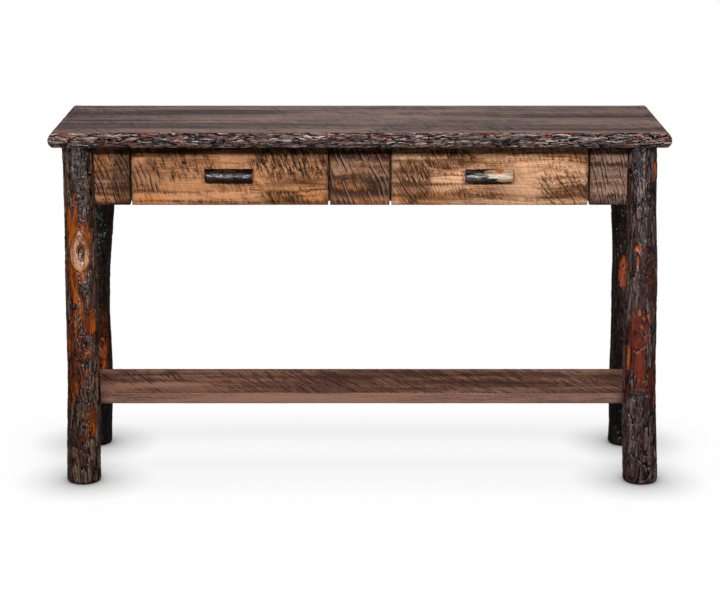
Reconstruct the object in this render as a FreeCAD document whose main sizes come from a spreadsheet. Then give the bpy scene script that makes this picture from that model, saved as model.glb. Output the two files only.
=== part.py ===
"""Log console table: four bark-on log legs, a planked top with bark edges, an apron of rough sawn boards
with two drawers on wooden runners, and a lower shelf that rests on log stretchers.

Sizes are in millimetres. X runs along the table, the front faces -Y, Z is up, and the origin lies on the
floor under the middle of the top.
"""

import FreeCAD, Part
import os
import re
import Sketcher

# Driving dimensions: name, size in millimetres, meaning
SIZES = (
    ("table_length", 1372, "overall length of the top, bark edges included"),
    ("table_depth", 406, "overall depth of the top, front bark edge included"),
    ("table_height", 820, "floor to the top's upper face"),
    ("plank_thick", 34, "thickness of the two top planks and height of the bark edges"),
    ("front_plank_width", 186, "width of the front plank, without its tongue joint"),
    ("tongue_thick", 10, "thickness of the tongue between the planks"),
    ("tongue_long", 9, "how far the tongue reaches into its groove"),
    ("bark_edge_depth", 24, "greatest depth of a bark edge"),
    ("bark_edge_bulge", 9, "how far the barked face swells out"),
    ("leg_diameter", 76, "mean diameter of a log leg"),
    ("side_overhang", 20, "top's end to the side of a leg"),
    ("front_overhang", 33, "top's front to the face of a front leg"),
    ("back_overhang", 6, "top's back to the rear of a back leg"),
    ("foot_bevel", 5, "bevel round the foot of a leg"),
    ("bark_thick", 2, "step from a leg's bark down to the wood where the bark is off"),
    ("peel_slope", 14, "run of the slope at either end of a patch without bark"),
    ("knot_diameter", 20, "width of the largest knot's hollow at the leg's skin"),
    ("knot_sink", 4.5, "depth of the largest knot's hollow"),
    ("apron_height", 141, "height of the apron boards"),
    ("apron_thick", 22, "thickness of the apron boards"),
    ("housing_stop", 18, "leg axis to the end of a board housed in that leg"),
    ("fit_play", 0.3, "clearance of a board in its housing and of a tenon in its bore"),
    ("centre_stile_width", 134, "width of the fixed board between the drawers"),
    ("side_stile_reach", 114, "leg axis to the free edge of a side stile"),
    ("drawer_gap", 3.5, "gap at each side of a drawer front"),
    ("drawer_top_gap", 3, "gap between a drawer front and the top"),
    ("close_play", 0.5, "clearance behind a closed drawer front"),
    ("box_inset", 6, "drawer front's edge to the side of its box"),
    ("box_wall", 12, "thickness of the drawer box walls"),
    ("box_lift", 24, "apron's lower edge to the foot of a drawer box"),
    ("box_headroom", 12, "rim of a drawer box to the top's underside"),
    ("box_rear_room", 23, "back of a closed drawer box to the back apron"),
    ("box_dado", 4, "depth of the housings in the drawer sides"),
    ("box_bottom_thick", 6, "thickness of a drawer bottom"),
    ("box_bottom_rise", 8, "foot of the drawer box to its bottom panel"),
    ("box_groove", 5, "depth of the groove that holds a drawer bottom"),
    ("guide_thick", 18, "thickness of the boards beside the drawers"),
    ("guide_play", 1.5, "sideways clearance of a drawer box"),
    ("runner_width", 22, "width of a drawer runner"),
    ("runner_height", 18, "height of a drawer runner"),
    ("slide_play", 0.3, "clearance between a drawer box and its runner"),
    ("stop_length", 50, "length of a drawer stop"),
    ("stop_width", 20, "width of a drawer stop"),
    ("stop_drop", 20, "how far a drawer stop hangs below the top"),
    ("stop_setback", 1.5, "front wall of a closed drawer box to its stop"),
    ("cleat_size", 20, "height and width of the cleats under the top"),
    ("cleat_end_room", 12, "leg's side to the end of a side cleat"),
    ("stretcher_diameter", 50, "diameter of a log stretcher"),
    ("stretcher_seat", 20, "stretcher axis to the flat that carries the shelf"),
    ("stretcher_tenon", 26, "diameter of the round tenons"),
    ("bore_stop", 10, "leg axis to the end of a tenon bore"),
    ("shoulder_gap", 3, "leg's side to the start of a stretcher's taper"),
    ("shoulder_taper", 18, "length of the taper behind a tenon"),
    ("shelf_top", 196, "floor to the shelf's upper face"),
    ("shelf_thick", 26, "thickness of the shelf board"),
    ("shelf_overlap", 20, "stretcher axis to the end of the shelf"),
    ("shelf_play", 4, "clearance between the shelf and the legs"),
    ("shelf_bevel", 2, "bevel on the shelf's front and back edges"),
    ("counterbore_depth", 8, "depth of the counterbores under the stretchers"),
    ("pull_diameter", 30, "diameter of a twig pull"),
    ("pull_length", 110, "length of a twig pull"),
    ("pull_flat", 5, "depth planed off the back of a pull"),
    ("pull_slant", 5, "how far each end of a pull slopes back"),
    ("pull_screw_reach", 32, "middle of a pull to its screws"),
    ("screw_shank", 4.2, "shank diameter of the wood screws"),
    ("screw_head", 8.4, "head diameter of the wood screws"),
    ("screw_head_height", 2.8, "head height of the wood screws"),
    ("screw_tip", 5, "length of a screw's point"),
    ("screw_bite", 13, "how far a screw reaches into the second piece"),
    ("screw_play", 0.15, "clearance all round a screw"),
    ("pilot_spare", 1, "depth of a pilot hole past the screw's point"),
    ("counterbore_play", 1, "clearance round a screw head in its counterbore"),
    ("overrun", 2, "how far a cut runs past the wood"),
)

# The shape of each leg at even steps from foot to top: girths and sideways bows as shares of leg_diameter
LEG_GIRTH_SHARES = {
    "leg_front_left": (1.02, 1.01, 1.00, 0.98, 0.97, 0.95, 0.93, 0.92, 0.92),
    "leg_front_right": (1.04, 1.03, 1.00, 0.98, 0.96, 0.91, 0.88, 0.87, 0.87),
    "leg_back_left": (1.00, 1.00, 1.00, 1.02, 1.02, 0.98, 0.98, 1.00, 1.02),
    "leg_back_right": (1.02, 1.01, 0.99, 0.98, 0.99, 0.98, 1.00, 0.98, 0.98),
}
LEG_BOW_SHARES = {
    "leg_front_left": (
        (-0.08, 0.00), (-0.06, 0.00), (-0.02, 0.00), (0.00, -0.01), (0.00, -0.02),
        (0.00, -0.02), (0.00, -0.01), (0.00, 0.00), (-0.02, 0.00),
    ),
    "leg_front_right": (
        (0.22, 0.00), (0.17, 0.00), (0.13, 0.00), (0.11, -0.01), (0.10, -0.02),
        (0.11, -0.02), (0.07, -0.01), (0.04, 0.00), (0.01, 0.00),
    ),
    "leg_back_left": (
        (-0.16, 0.00), (-0.12, 0.00), (-0.10, 0.00), (-0.14, 0.01), (-0.13, 0.02),
        (-0.02, 0.02), (0.09, 0.01), (0.11, 0.00), (0.12, 0.00),
    ),
    "leg_back_right": (
        (0.17, 0.00), (0.19, 0.00), (0.17, 0.00), (0.18, 0.01), (0.17, 0.02),
        (0.16, 0.02), (0.10, 0.01), (0.06, 0.00), (0.03, 0.00),
    ),
}
# Where the bark is off a leg, in wide patches and in long clefts: the turn of the middle from the front
# towards +X and the width, both in degrees, and the foot and crest as shares of the leg's length
PEEL_SHARES = {
    "leg_front_left": (
        (-12, 96, 0.45, 0.87), (168, 80, 0.42, 0.72), (42, 44, 0.11, 0.26),
        (78, 9, 0.30, 0.74), (-84, 9, 0.10, 0.40), (-100, 9, 0.55, 0.95),
    ),
    "leg_front_right": (
        (-6, 100, 0.26, 0.58), (190, 80, 0.51, 0.76),
        (72, 9, 0.45, 0.92), (-84, 9, 0.30, 0.78), (110, 9, 0.10, 0.50),
    ),
    "leg_back_left": (
        (42, 60, 0.24, 0.46), (200, 80, 0.51, 0.80),
        (82, 9, 0.40, 0.78), (-60, 9, 0.20, 0.70), (125, 9, 0.10, 0.50),
    ),
    "leg_back_right": (
        (-24, 44, 0.48, 0.61), (150, 80, 0.32, 0.57),
        (-75, 9, 0.20, 0.60), (60, 9, 0.30, 0.80), (-125, 9, 0.45, 0.78),
    ),
}
# Knots: turn in degrees, place as a share of the leg's length, and size as a share of the largest knot
KNOT_SHARES = {
    "leg_front_left": (2, 0.696, 1.0),
    "leg_front_right": (-21, 0.702, 0.6),
    "leg_back_left": (36, 0.309, 0.7),
    "leg_back_right": (-24, 0.566, 0.5),
}
# Sideways place of each stretcher from the legs' straight axis, as a share of leg_diameter
STRETCHER_BOW_SHARES = {"left": -0.08, "right": 0.165}

# The shape of each pull at even steps from left to right: girths and upward bows as shares of pull_diameter
PULL_GIRTH_SHARES = {
    "left": (0.98, 1.00, 1.02, 0.99, 0.96),
    "right": (1.04, 1.00, 0.98, 0.95, 0.99),
}
PULL_BOW_SHARES = {
    "left": (0.00, 0.01, 0.02, 0.01, 0.00),
    "right": (-0.01, 0.00, 0.00, 0.01, 0.02),
}

# Places of the screws along the boards that they hold, as shares of those boards
RUNNER_SCREW_SHARES = (0.15, 0.50, 0.85)
GUIDE_SCREW_SHARES = (0.30, 0.80)
FRONT_SCREW_X_SHARES = (0.15, 0.85)
FRONT_SCREW_Z_SHARES = (0.30, 0.75)
CENTRE_UPRIGHT_SHARE = 0.65
CENTRE_LEVEL_SHARE = 0.30
CLEAT_UPRIGHT_SHARES = (0.18, 0.82)
CLEAT_LEVEL_SHARES = (0.35, 0.65)
SHELF_SCREW_SHARES = (0.25, 0.75)

# Places that several pieces share, worked out from the driving dimensions
UNDERSIDE = "(table_height - plank_thick)"
APRON_FOOT = f"({UNDERSIDE} - apron_height)"
LEG_X = "(table_length / 2 - side_overhang - leg_diameter / 2)"
FRONT_LEG_Y = "(front_overhang + leg_diameter / 2 - table_depth / 2)"
BACK_LEG_Y = "(table_depth / 2 - back_overhang - leg_diameter / 2)"
MID_LEG_Y = f"(({FRONT_LEG_Y} + {BACK_LEG_Y}) / 2)"
FRONT_LEG_REAR = f"({FRONT_LEG_Y} + leg_diameter / 2)"
BACK_LEG_FACE = f"({BACK_LEG_Y} - leg_diameter / 2)"
PLANK_END = "(table_length / 2 - bark_edge_depth)"
PLANK_FRONT = "(bark_edge_depth - table_depth / 2)"
PLANK_JOINT = f"({PLANK_FRONT} + front_plank_width)"
PLANK_BACK = "(table_depth / 2)"
APRON_FACE = FRONT_LEG_Y
APRON_REAR = f"({APRON_FACE} + apron_thick)"
BACK_APRON_FACE = BACK_LEG_Y
BACK_APRON_REAR = f"({BACK_APRON_FACE} + apron_thick)"
STILE_EDGE = f"({LEG_X} - side_stile_reach)"
DRAWER_NEAR = "(centre_stile_width / 2 + drawer_gap)"
DRAWER_FAR = f"({STILE_EDGE} - drawer_gap)"
DRAWER_MIDDLE = f"(({DRAWER_NEAR} + {DRAWER_FAR}) / 2)"
DRAWER_CREST = f"({UNDERSIDE} - drawer_top_gap)"
BOX_NEAR = f"({DRAWER_NEAR} + box_inset)"
BOX_FAR = f"({DRAWER_FAR} - box_inset)"
BOX_FRONT = f"({APRON_REAR} - close_play)"
BOX_BACK = f"({BACK_APRON_FACE} - box_rear_room)"
BOX_FOOT = f"({APRON_FOOT} + box_lift)"
BOX_RIM = f"({UNDERSIDE} - box_headroom)"
PANEL_FOOT = f"({BOX_FOOT} + box_bottom_rise)"
PANEL_CREST = f"({PANEL_FOOT} + box_bottom_thick)"
RUNNER_CREST = f"({BOX_FOOT} - slide_play)"
RUNNER_FOOT = f"({RUNNER_CREST} - runner_height)"
STOP_FRONT = f"({BOX_FRONT} + box_wall + stop_setback)"
STOP_BACK = f"({STOP_FRONT} + stop_width)"
SHELF_FOOT = "(shelf_top - shelf_thick)"
STRETCHER_Z = f"({SHELF_FOOT} - stretcher_seat)"
PULL_Z = f"(({APRON_FOOT} + {DRAWER_CREST}) / 2)"
HOLE = "(screw_shank + 2 * screw_play)"
PILOT = "(screw_bite + pilot_spare)"

AXES = "xyz"
PLANES = {"x": "YZ_Plane", "y": "XZ_Plane", "z": "XY_Plane"}
SIDES = {"left": -1, "right": 1}
QUARTER_TURN = 90

document = FreeCAD.newDocument("log_console_table")
sheet = document.addObject("Spreadsheet::Sheet", "sizes")
for row, (alias, size, meaning) in enumerate(SIZES, start=1):
    sheet.set(f"A{row}", alias)
    sheet.set(f"B{row}", str(size))
    sheet.setAlias(f"B{row}", alias)
    sheet.set(f"C{row}", meaning)
document.recompute()
NAMED_SIZE = re.compile(r"\b(" + "|".join(alias for alias, _, _ in SIZES) + r")\b")


def bind(text):
    """The expression with every named size read from the sheet."""
    return NAMED_SIZE.sub(r"sizes.\1", str(text))


def value(text):
    """What an expression comes to now, in millimetres."""
    return float(sheet.evalExpression(bind(text)))


def span(side, near, far):
    """The lower and higher X of something that reaches from near to far on one side of the table."""
    if SIDES[side] > 0:
        return near, far
    return f"-({far})", f"-({near})"


def sided(side, distance):
    """A distance from the middle of the table, with the sign of that side."""
    return f"{SIDES[side]} * ({distance})"


def share(low, high, part):
    """The place that lies a share of the way from low to high."""
    return f"({low}) + (({high}) - ({low})) * {part}"


class Piece:
    """One body of the table. Its origin stands at place, and its methods take places in the table's frame."""

    def __init__(self, label, place):
        self.body = document.addObject("PartDesign::Body", label)
        self.body.Label = label
        self.place = dict(zip(AXES, place))
        for axis, text in self.place.items():
            self.body.setExpression(f"Placement.Base.{axis}", bind(text))

    def local(self, axis, text):
        """A place along one axis, counted from the piece's own origin."""
        return f"({text}) - {self.place[axis]}"

    def sketch(self, normal, level):
        """An empty sketch square to an axis, at a level along it."""
        drawn = self.body.newObject("Sketcher::SketchObject", "outline")
        role = PLANES[normal]
        plane = next(f for f in self.body.Origin.OriginFeatures if f.Role == role)
        drawn.AttachmentSupport = [(plane, "")]
        drawn.MapMode = "FlatFace"
        sign = "-1" if normal == "y" else "1"
        drawn.setExpression("AttachmentOffset.Base.z", bind(f"{sign} * ({self.local(normal, level)})"))
        return drawn

    def fix(self, drawn, kind, number, corner, text):
        """Ties one coordinate of a sketched point, counted from the sketch's origin, to an expression."""
        made = drawn.addConstraint(Sketcher.Constraint(kind, -1, 1, number, corner, value(text)))
        drawn.setExpression(f"Constraints[{made}]", bind(text))

    def polygon(self, normal, level, corners):
        """A closed outline through corners, given along the two axes square to normal."""
        drawn = self.sketch(normal, level)
        across = [axis for axis in AXES if axis != normal]
        places = [[self.local(axis, text) for axis, text in zip(across, corner)] for corner in corners]
        return self.outline(drawn, places)

    def slice(self, turn, centre):
        """An empty upright sketch through centre, whose first axis points out at a turn from the front."""
        drawn = self.sketch("y", self.place["y"])
        drawn.AttachmentOffset = FreeCAD.Placement(
            FreeCAD.Vector(), FreeCAD.Rotation(FreeCAD.Vector(0, 1, 0), turn - QUARTER_TURN))
        x, y = (self.local(axis, text) for axis, text in zip(AXES, centre))
        drawn.setExpression("AttachmentOffset.Base.x", bind(x))
        drawn.setExpression("AttachmentOffset.Base.z", bind(f"-1 * ({y})"))
        return drawn

    def outline(self, drawn, places):
        """Draws a closed outline through places counted from the sketch's origin."""
        points = [FreeCAD.Vector(value(u), value(v), 0) for u, v in places]
        count = len(points)
        for number, start in enumerate(points):
            drawn.addGeometry(Part.LineSegment(start, points[(number + 1) % count]), False)
        for number in range(count):
            drawn.addConstraint(Sketcher.Constraint("Coincident", number, 2, (number + 1) % count, 1))
        for number, (u, v) in enumerate(places):
            self.fix(drawn, "DistanceX", number, 1, u)
            self.fix(drawn, "DistanceY", number, 1, v)
        return drawn

    def rings(self, normal, level, centres, diameter):
        """Circles of one diameter round centres, given along the two axes square to normal."""
        drawn = self.sketch(normal, level)
        across = [axis for axis in AXES if axis != normal]
        upward = FreeCAD.Vector(0, 0, 1)
        for number, centre in enumerate(centres):
            u, v = (self.local(axis, text) for axis, text in zip(across, centre))
            middle = FreeCAD.Vector(value(u), value(v), 0)
            drawn.addGeometry(Part.Circle(middle, upward, value(diameter) / 2), False)
            made = drawn.addConstraint(Sketcher.Constraint("Diameter", number, value(diameter)))
            drawn.setExpression(f"Constraints[{made}]", bind(diameter))
            self.fix(drawn, "DistanceX", number, 3, u)
            self.fix(drawn, "DistanceY", number, 3, v)
        return drawn

    def pad(self, drawn, length):
        """Wood on the side of a sketch that its normal points to."""
        made = self.body.newObject("PartDesign::Pad", "wood")
        made.Profile = (drawn, [""])
        made.setExpression("Length", bind(length))
        return made

    def pocket(self, drawn, length):
        """A cut on the side of a sketch that its normal points away from."""
        made = self.body.newObject("PartDesign::Pocket", "cut")
        made.Profile = (drawn, [""])
        made.setExpression("Length", bind(length))
        return made

    def cut(self, low, high):
        """A square-cornered cut between two opposite corners."""
        (x0, y0, z0), (x1, y1, z1) = low, high
        drawn = self.polygon("z", z1, ((x0, y0), (x1, y0), (x1, y1), (x0, y1)))
        return self.pocket(drawn, f"({z1}) - ({z0})")

    def drill(self, axis, centres, diameter, low, high):
        """Round holes along an axis, from low to high."""
        start = low if axis == "y" else high
        return self.pocket(self.rings(axis, start, centres, diameter), f"({high}) - ({low})")

    def groove(self, drawn, axis, angle):
        """A cut that a sketch sweeps round an axis of its own, half to either side."""
        made = self.body.newObject("PartDesign::Groove", "cut")
        made.Profile = (drawn, [""])
        made.ReferenceAxis = (drawn, [axis])
        made.Midplane = True
        made.Angle = angle
        return made

    def loft(self, rings):
        """Wood that runs through a row of rings."""
        made = self.body.newObject("PartDesign::AdditiveLoft", "log")
        made.Profile = (rings[0], [""])
        made.Sections = [(ring, [""]) for ring in rings[1:]]
        return made


def board(label, low, high):
    """A square-edged board between two opposite corners, with its own origin at the lower one."""
    piece = Piece(label, low)
    (x0, y0, z0), (x1, y1, z1) = low, high
    piece.pad(piece.polygon("z", z0, ((x0, y0), (x1, y0), (x1, y1), (x0, y1))), f"({z1}) - ({z0})")
    return piece


def screws(label, axis, sign, seats, through):
    """A group of like screws. Each head sits on its seat, and the shank runs forwards or back along axis."""
    shank, head = value("screw_shank / 2"), value("screw_head / 2")
    length = value(f"({through}) + screw_bite")
    profile = (
        (0, -value("screw_head_height")), (head, -value("screw_head_height")), (head, 0), (shank, 0),
        (shank, length - value("screw_tip")), (0, length),
    )
    points = [FreeCAD.Vector(radius, 0, along) for radius, along in profile]
    face = Part.Face(Part.makePolygon(points + points[:1]))
    screw = face.revolve(FreeCAD.Vector(0, 0, 0), FreeCAD.Vector(0, 0, 1), 360)
    way = FreeCAD.Vector(*(sign if name == axis else 0 for name in AXES))
    turn = FreeCAD.Rotation(FreeCAD.Vector(0, 0, 1), way)
    places = [FreeCAD.Vector(*(value(text) for text in seat)) for seat in seats]
    copies = []
    for place in places:
        copy = screw.copy()
        copy.Placement = FreeCAD.Placement(place - places[0], turn)
        copies.append(copy)
    group = document.addObject("Part::Feature", label)
    group.Label = label
    group.Shape = Part.makeCompound(copies)
    group.Placement = FreeCAD.Placement(places[0], FreeCAD.Rotation())
    return group


# Top: two planks with a tongue joint, and half-round bark edges with mitred corners
def top_planks():
    """The two planks, and the upright screws' pilot holes in them."""
    tongue_low = f"({UNDERSIDE} + (plank_thick - tongue_thick) / 2)"
    tongue_high = f"({tongue_low} + tongue_thick)"
    groove_low, groove_high = f"({tongue_low} - fit_play)", f"({tongue_high} + fit_play)"
    groove_end = f"({PLANK_JOINT} - tongue_long - fit_play)"
    front = Piece("top_plank_front", (f"-{PLANK_END}", PLANK_FRONT, UNDERSIDE))
    outline = (
        (PLANK_FRONT, UNDERSIDE), (PLANK_JOINT, UNDERSIDE),
        (PLANK_JOINT, groove_low), (groove_end, groove_low),
        (groove_end, groove_high), (PLANK_JOINT, groove_high), (PLANK_JOINT, "table_height"),
        (PLANK_FRONT, "table_height"),
    )
    front.pad(front.polygon("x", f"-{PLANK_END}", outline), f"2 * {PLANK_END}")
    back = Piece("top_plank_back", (f"-{PLANK_END}", PLANK_JOINT, UNDERSIDE))
    tongue_end = f"({PLANK_JOINT} - tongue_long)"
    outline = (
        (PLANK_JOINT, UNDERSIDE), (PLANK_BACK, UNDERSIDE), (PLANK_BACK, "table_height"),
        (PLANK_JOINT, "table_height"), (PLANK_JOINT, tongue_high), (tongue_end, tongue_high),
        (tongue_end, tongue_low), (PLANK_JOINT, tongue_low),
    )
    back.pad(back.polygon("x", f"-{PLANK_END}", outline), f"2 * {PLANK_END}")
    pilot_top = f"({UNDERSIDE} + {PILOT})"
    front_holes = [seat[:2] for seat in CLEAT_UPRIGHT_SEATS if value(seat[1]) < value(PLANK_JOINT)]
    back_holes = [seat[:2] for seat in CLEAT_UPRIGHT_SEATS if value(seat[1]) >= value(PLANK_JOINT)]
    front_holes += [seat[:2] for seat in STOP_SEATS]
    front.drill("z", front_holes, HOLE, UNDERSIDE, pilot_top)
    back.drill("z", back_holes, HOLE, UNDERSIDE, pilot_top)


def bark_profile(piece, normal, level, back, swell):
    """The half-round section of a bark edge: a flat back, square top and bottom, and a swelling face."""
    rounding = "((plank_thick / 2) ^ 2 + bark_edge_bulge ^ 2) / (2 * bark_edge_bulge)"
    low, high = UNDERSIDE, "table_height"
    shoulder = f"({back}) + ({swell}) * (bark_edge_depth - bark_edge_bulge)"
    crown = f"({back}) + ({swell}) * bark_edge_depth"
    drawn = piece.sketch(normal, level)
    across = "x" if normal == "y" else "y"
    at = {name: piece.local(across, text) for name, text in
          (("back", back), ("shoulder", shoulder), ("crown", crown))}
    rise = {name: piece.local("z", text) for name, text in
            (("low", low), ("high", high), ("mid", f"({low} + {high}) / 2"))}
    corners = (("shoulder", "low"), ("back", "low"), ("back", "high"), ("shoulder", "high"))
    points = [FreeCAD.Vector(value(at[u]), value(rise[v]), 0) for u, v in corners]
    for start, end in zip(points, points[1:]):
        drawn.addGeometry(Part.LineSegment(start, end), False)
    crest = FreeCAD.Vector(value(at["crown"]), value(rise["mid"]), 0)
    drawn.addGeometry(Part.Arc(points[3], crest, points[0]), False)
    arc_start, arc_end = (1, 2) if swell < 0 else (2, 1)
    drawn.addConstraint(Sketcher.Constraint("Coincident", 0, 2, 1, 1))
    drawn.addConstraint(Sketcher.Constraint("Coincident", 1, 2, 2, 1))
    drawn.addConstraint(Sketcher.Constraint("Coincident", 2, 2, 3, arc_start))
    drawn.addConstraint(Sketcher.Constraint("Coincident", 3, arc_end, 0, 1))
    for number, (u, v) in enumerate(corners[:3]):
        piece.fix(drawn, "DistanceX", number, 1, at[u])
        piece.fix(drawn, "DistanceY", number, 1, rise[v])
    piece.fix(drawn, "DistanceX", 2, 2, at["shoulder"])
    piece.fix(drawn, "DistanceY", 2, 2, rise["high"])
    made = drawn.addConstraint(Sketcher.Constraint("Radius", 3, value(rounding)))
    drawn.setExpression(f"Constraints[{made}]", bind(rounding))
    return drawn


def bark_edges():
    """The front bark edge and the two at the ends, mitred where they meet."""
    end, front = "(table_length / 2)", "(table_depth / 2)"
    above = "(table_height + overrun)"
    depth = "(plank_thick + 2 * overrun)"
    past_end = f"({end} + overrun)"
    past_front = f"(-{front} - overrun)"
    inner_x, inner_y = f"({PLANK_END} - overrun)", f"({PLANK_FRONT} + overrun)"
    edge = Piece("bark_edge_front", (f"-{end}", f"-{front}", UNDERSIDE))
    edge.pad(bark_profile(edge, "x", f"-{end}", PLANK_FRONT, -1), "table_length")
    for side in SIDES:
        corners = [(sided(side, x), y) for x, y in
                   ((past_end, past_front), (past_end, inner_y), (inner_x, inner_y))]
        edge.pocket(edge.polygon("z", above, corners), depth)
    for side in SIDES:
        edge = Piece(f"bark_edge_{side}", (sided(side, PLANK_END), f"-{front}", UNDERSIDE))
        edge.pad(bark_profile(edge, "y", front, sided(side, PLANK_END), SIDES[side]), "table_depth")
        corners = [(sided(side, x), y) for x, y in
                   ((past_end, past_front), (inner_x, past_front), (inner_x, inner_y))]
        edge.pocket(edge.polygon("z", above, corners), depth)


STRETCHER_X = {
    side: f"({sided(side, LEG_X)} + leg_diameter * {STRETCHER_BOW_SHARES[side]})" for side in SIDES
}


# Legs: bowed logs with a bevelled foot, housings for the apron and a bore for the stretcher
def leg(label, side, axis_y, inward):
    """One log leg. Inward is 1 where its side apron and stretcher lie behind it, and -1 in front of it."""
    piece = Piece(label, (sided(side, LEG_X), axis_y, "0"))
    girths, bows = LEG_GIRTH_SHARES[label], LEG_BOW_SHARES[label]
    steps = len(girths) - 1
    rings = []
    for number, (girth, (bow_x, bow_y)) in enumerate(zip(girths, bows)):
        centre = (f"{sided(side, LEG_X)} + leg_diameter * {bow_x}", f"{axis_y} + leg_diameter * {bow_y}")
        level = f"{UNDERSIDE} * {number} / {steps}"
        rings.append(piece.rings("z", level, (centre,), f"leg_diameter * {girth}"))
    piece.loft(rings)
    foot_bevel(piece, label)
    near, far = f"({LEG_X} - leg_diameter)", f"({LEG_X} - housing_stop + fit_play)"
    low_x, high_x = span(side, near, far)
    face = APRON_FACE if inward > 0 else BACK_APRON_FACE
    rear = APRON_REAR if inward > 0 else BACK_APRON_REAR
    foot, crest = f"({APRON_FOOT} - fit_play)", f"({UNDERSIDE} + overrun)"
    piece.cut((low_x, f"({face} - fit_play)", foot), (high_x, f"({rear} + fit_play)", crest))
    cheek = "(apron_thick / 2 + fit_play)"
    low_x, high_x = span(side, f"({LEG_X} - {cheek})", f"({LEG_X} + {cheek})")
    inner = f"({axis_y} + {inward} * (housing_stop - fit_play))"
    outer = f"({axis_y} + {inward} * leg_diameter)"
    low_y, high_y = (inner, outer) if inward > 0 else (outer, inner)
    piece.cut((low_x, low_y, foot), (high_x, high_y, crest))
    inner = f"({axis_y} + {inward} * bore_stop)"
    low_y, high_y = (inner, outer) if inward > 0 else (outer, inner)
    bore = "(stretcher_tenon + 2 * fit_play)"
    piece.drill("y", ((STRETCHER_X[side], STRETCHER_Z),), bore, low_y, high_y)
    for patch in PEEL_SHARES[label]:
        peel(piece, label, *patch)
    knot(piece, label, *KNOT_SHARES[label])


def between(row, part):
    """What a row of even steps comes to a share of the way along it."""
    place = part * (len(row) - 1)
    number = min(int(place), len(row) - 2)
    return row[number] + (row[number + 1] - row[number]) * (place - number)


def log_at(piece, label, part):
    """The centre and radius of a leg a share of the way up it."""
    bows = [between(row, part) for row in zip(*LEG_BOW_SHARES[label])]
    centre = [f"{piece.place[axis]} + leg_diameter * {bow:.4f}" for axis, bow in zip(AXES, bows)]
    return centre, f"(leg_diameter * {between(LEG_GIRTH_SHARES[label], part):.4f} / 2)"


def peel(piece, label, turn, width, foot_share, crest_share):
    """A patch of a leg without bark, with a slope at its foot and at its crest."""
    centre, rim = log_at(piece, label, (foot_share + crest_share) / 2)
    low, high = f"({UNDERSIDE} * {foot_share})", f"({UNDERSIDE} * {crest_share})"
    wood, clear = f"({rim} - bark_thick)", f"({rim} + bark_thick)"
    corners = (
        (wood, f"{low} + peel_slope"), (clear, f"{low} - peel_slope"),
        (clear, f"{high} + peel_slope"), (wood, f"{high} - peel_slope"),
    )
    piece.groove(piece.outline(piece.slice(turn, centre), corners), "V_Axis", width)


def knot(piece, label, turn, place_share, size_share):
    """The hollow at a knot's heart."""
    centre, rim = log_at(piece, label, place_share)
    middle = f"({UNDERSIDE} * {place_share})"
    heart = f"({rim} - knot_sink * {size_share})"
    clear = f"({rim} + knot_sink * {size_share})"
    corners = ((heart, middle), (clear, middle), (clear, f"{middle} + knot_diameter * {size_share}"))
    drawn = piece.outline(piece.slice(turn, centre), corners)
    piece.groove(drawn, "Edge1", 4 * QUARTER_TURN)


def foot_bevel(piece, label):
    """A groove that takes the sharp edge off a leg's foot."""
    bow_x, bow_y = LEG_BOW_SHARES[label][0]
    girth = LEG_GIRTH_SHARES[label][0]
    axis_x, axis_y = piece.place["x"], piece.place["y"]
    middle = f"({axis_x} + leg_diameter * {bow_x})"
    rim = f"(leg_diameter * {girth} / 2)"
    far = f"({rim} + leg_diameter / 2)"
    slope = f"({rim} + overrun)"
    corners = (
        (f"{middle} + {rim} - foot_bevel - overrun", "-overrun"), (f"{middle} + {far}", "-overrun"),
        (f"{middle} + {far}", "foot_bevel + overrun"), (f"{middle} + {slope}", "foot_bevel + overrun"),
    )
    drawn = piece.polygon("y", f"{axis_y} + leg_diameter * {bow_y}", corners)
    low, high = (FreeCAD.Vector(value(piece.local("x", middle)), value(up), 0) for up in ("0", "foot_bevel"))
    axis = drawn.addGeometry(Part.LineSegment(low, high), True)
    for corner, height in ((1, "0"), (2, "foot_bevel")):
        piece.fix(drawn, "DistanceX", axis, corner, piece.local("x", middle))
        piece.fix(drawn, "DistanceY", axis, corner, height)
    made = piece.body.newObject("PartDesign::Groove", "foot_bevel")
    made.Profile = (drawn, [""])
    made.ReferenceAxis = (drawn, ["Axis0"])
    made.Angle = 360


# Apron: three fixed boards at the front, one at the back and one at each end
def apron():
    """The six fixed apron boards, housed in the legs."""
    board_end = f"({LEG_X} - housing_stop)"
    half = "(centre_stile_width / 2)"
    centre = board("apron_stile_centre", (f"-{half}", APRON_FACE, APRON_FOOT), (half, APRON_REAR, UNDERSIDE))
    centre.drill("y", [seat[::2] for seat in CENTRE_LEVEL_SEATS], HOLE, f"{APRON_REAR} - {PILOT}", APRON_REAR)
    for side in SIDES:
        low, high = span(side, STILE_EDGE, board_end)
        board(f"apron_stile_{side}", (low, APRON_FACE, APRON_FOOT), (high, APRON_REAR, UNDERSIDE))
    back = board("apron_back", (f"-{board_end}", BACK_APRON_FACE, APRON_FOOT),
                 (board_end, BACK_APRON_REAR, UNDERSIDE))
    back.drill("y", [seat[::2] for seat in GUIDE_SEATS], HOLE, BACK_APRON_FACE, BACK_APRON_REAR)
    for side in SIDES:
        low, high = span(side, f"({LEG_X} - apron_thick / 2)", f"({LEG_X} + apron_thick / 2)")
        end = board(f"apron_end_{side}", (low, f"({FRONT_LEG_Y} + housing_stop)", APRON_FOOT),
                    (high, f"({BACK_LEG_Y} - housing_stop)", UNDERSIDE))
        near, far = span(side, f"({LEG_X} - apron_thick / 2)", f"({LEG_X} - apron_thick / 2 + {PILOT})")
        end.drill("x", [seat[1:] for seat in CLEAT_LEVEL_SEATS[side]], HOLE, near, far)


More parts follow.
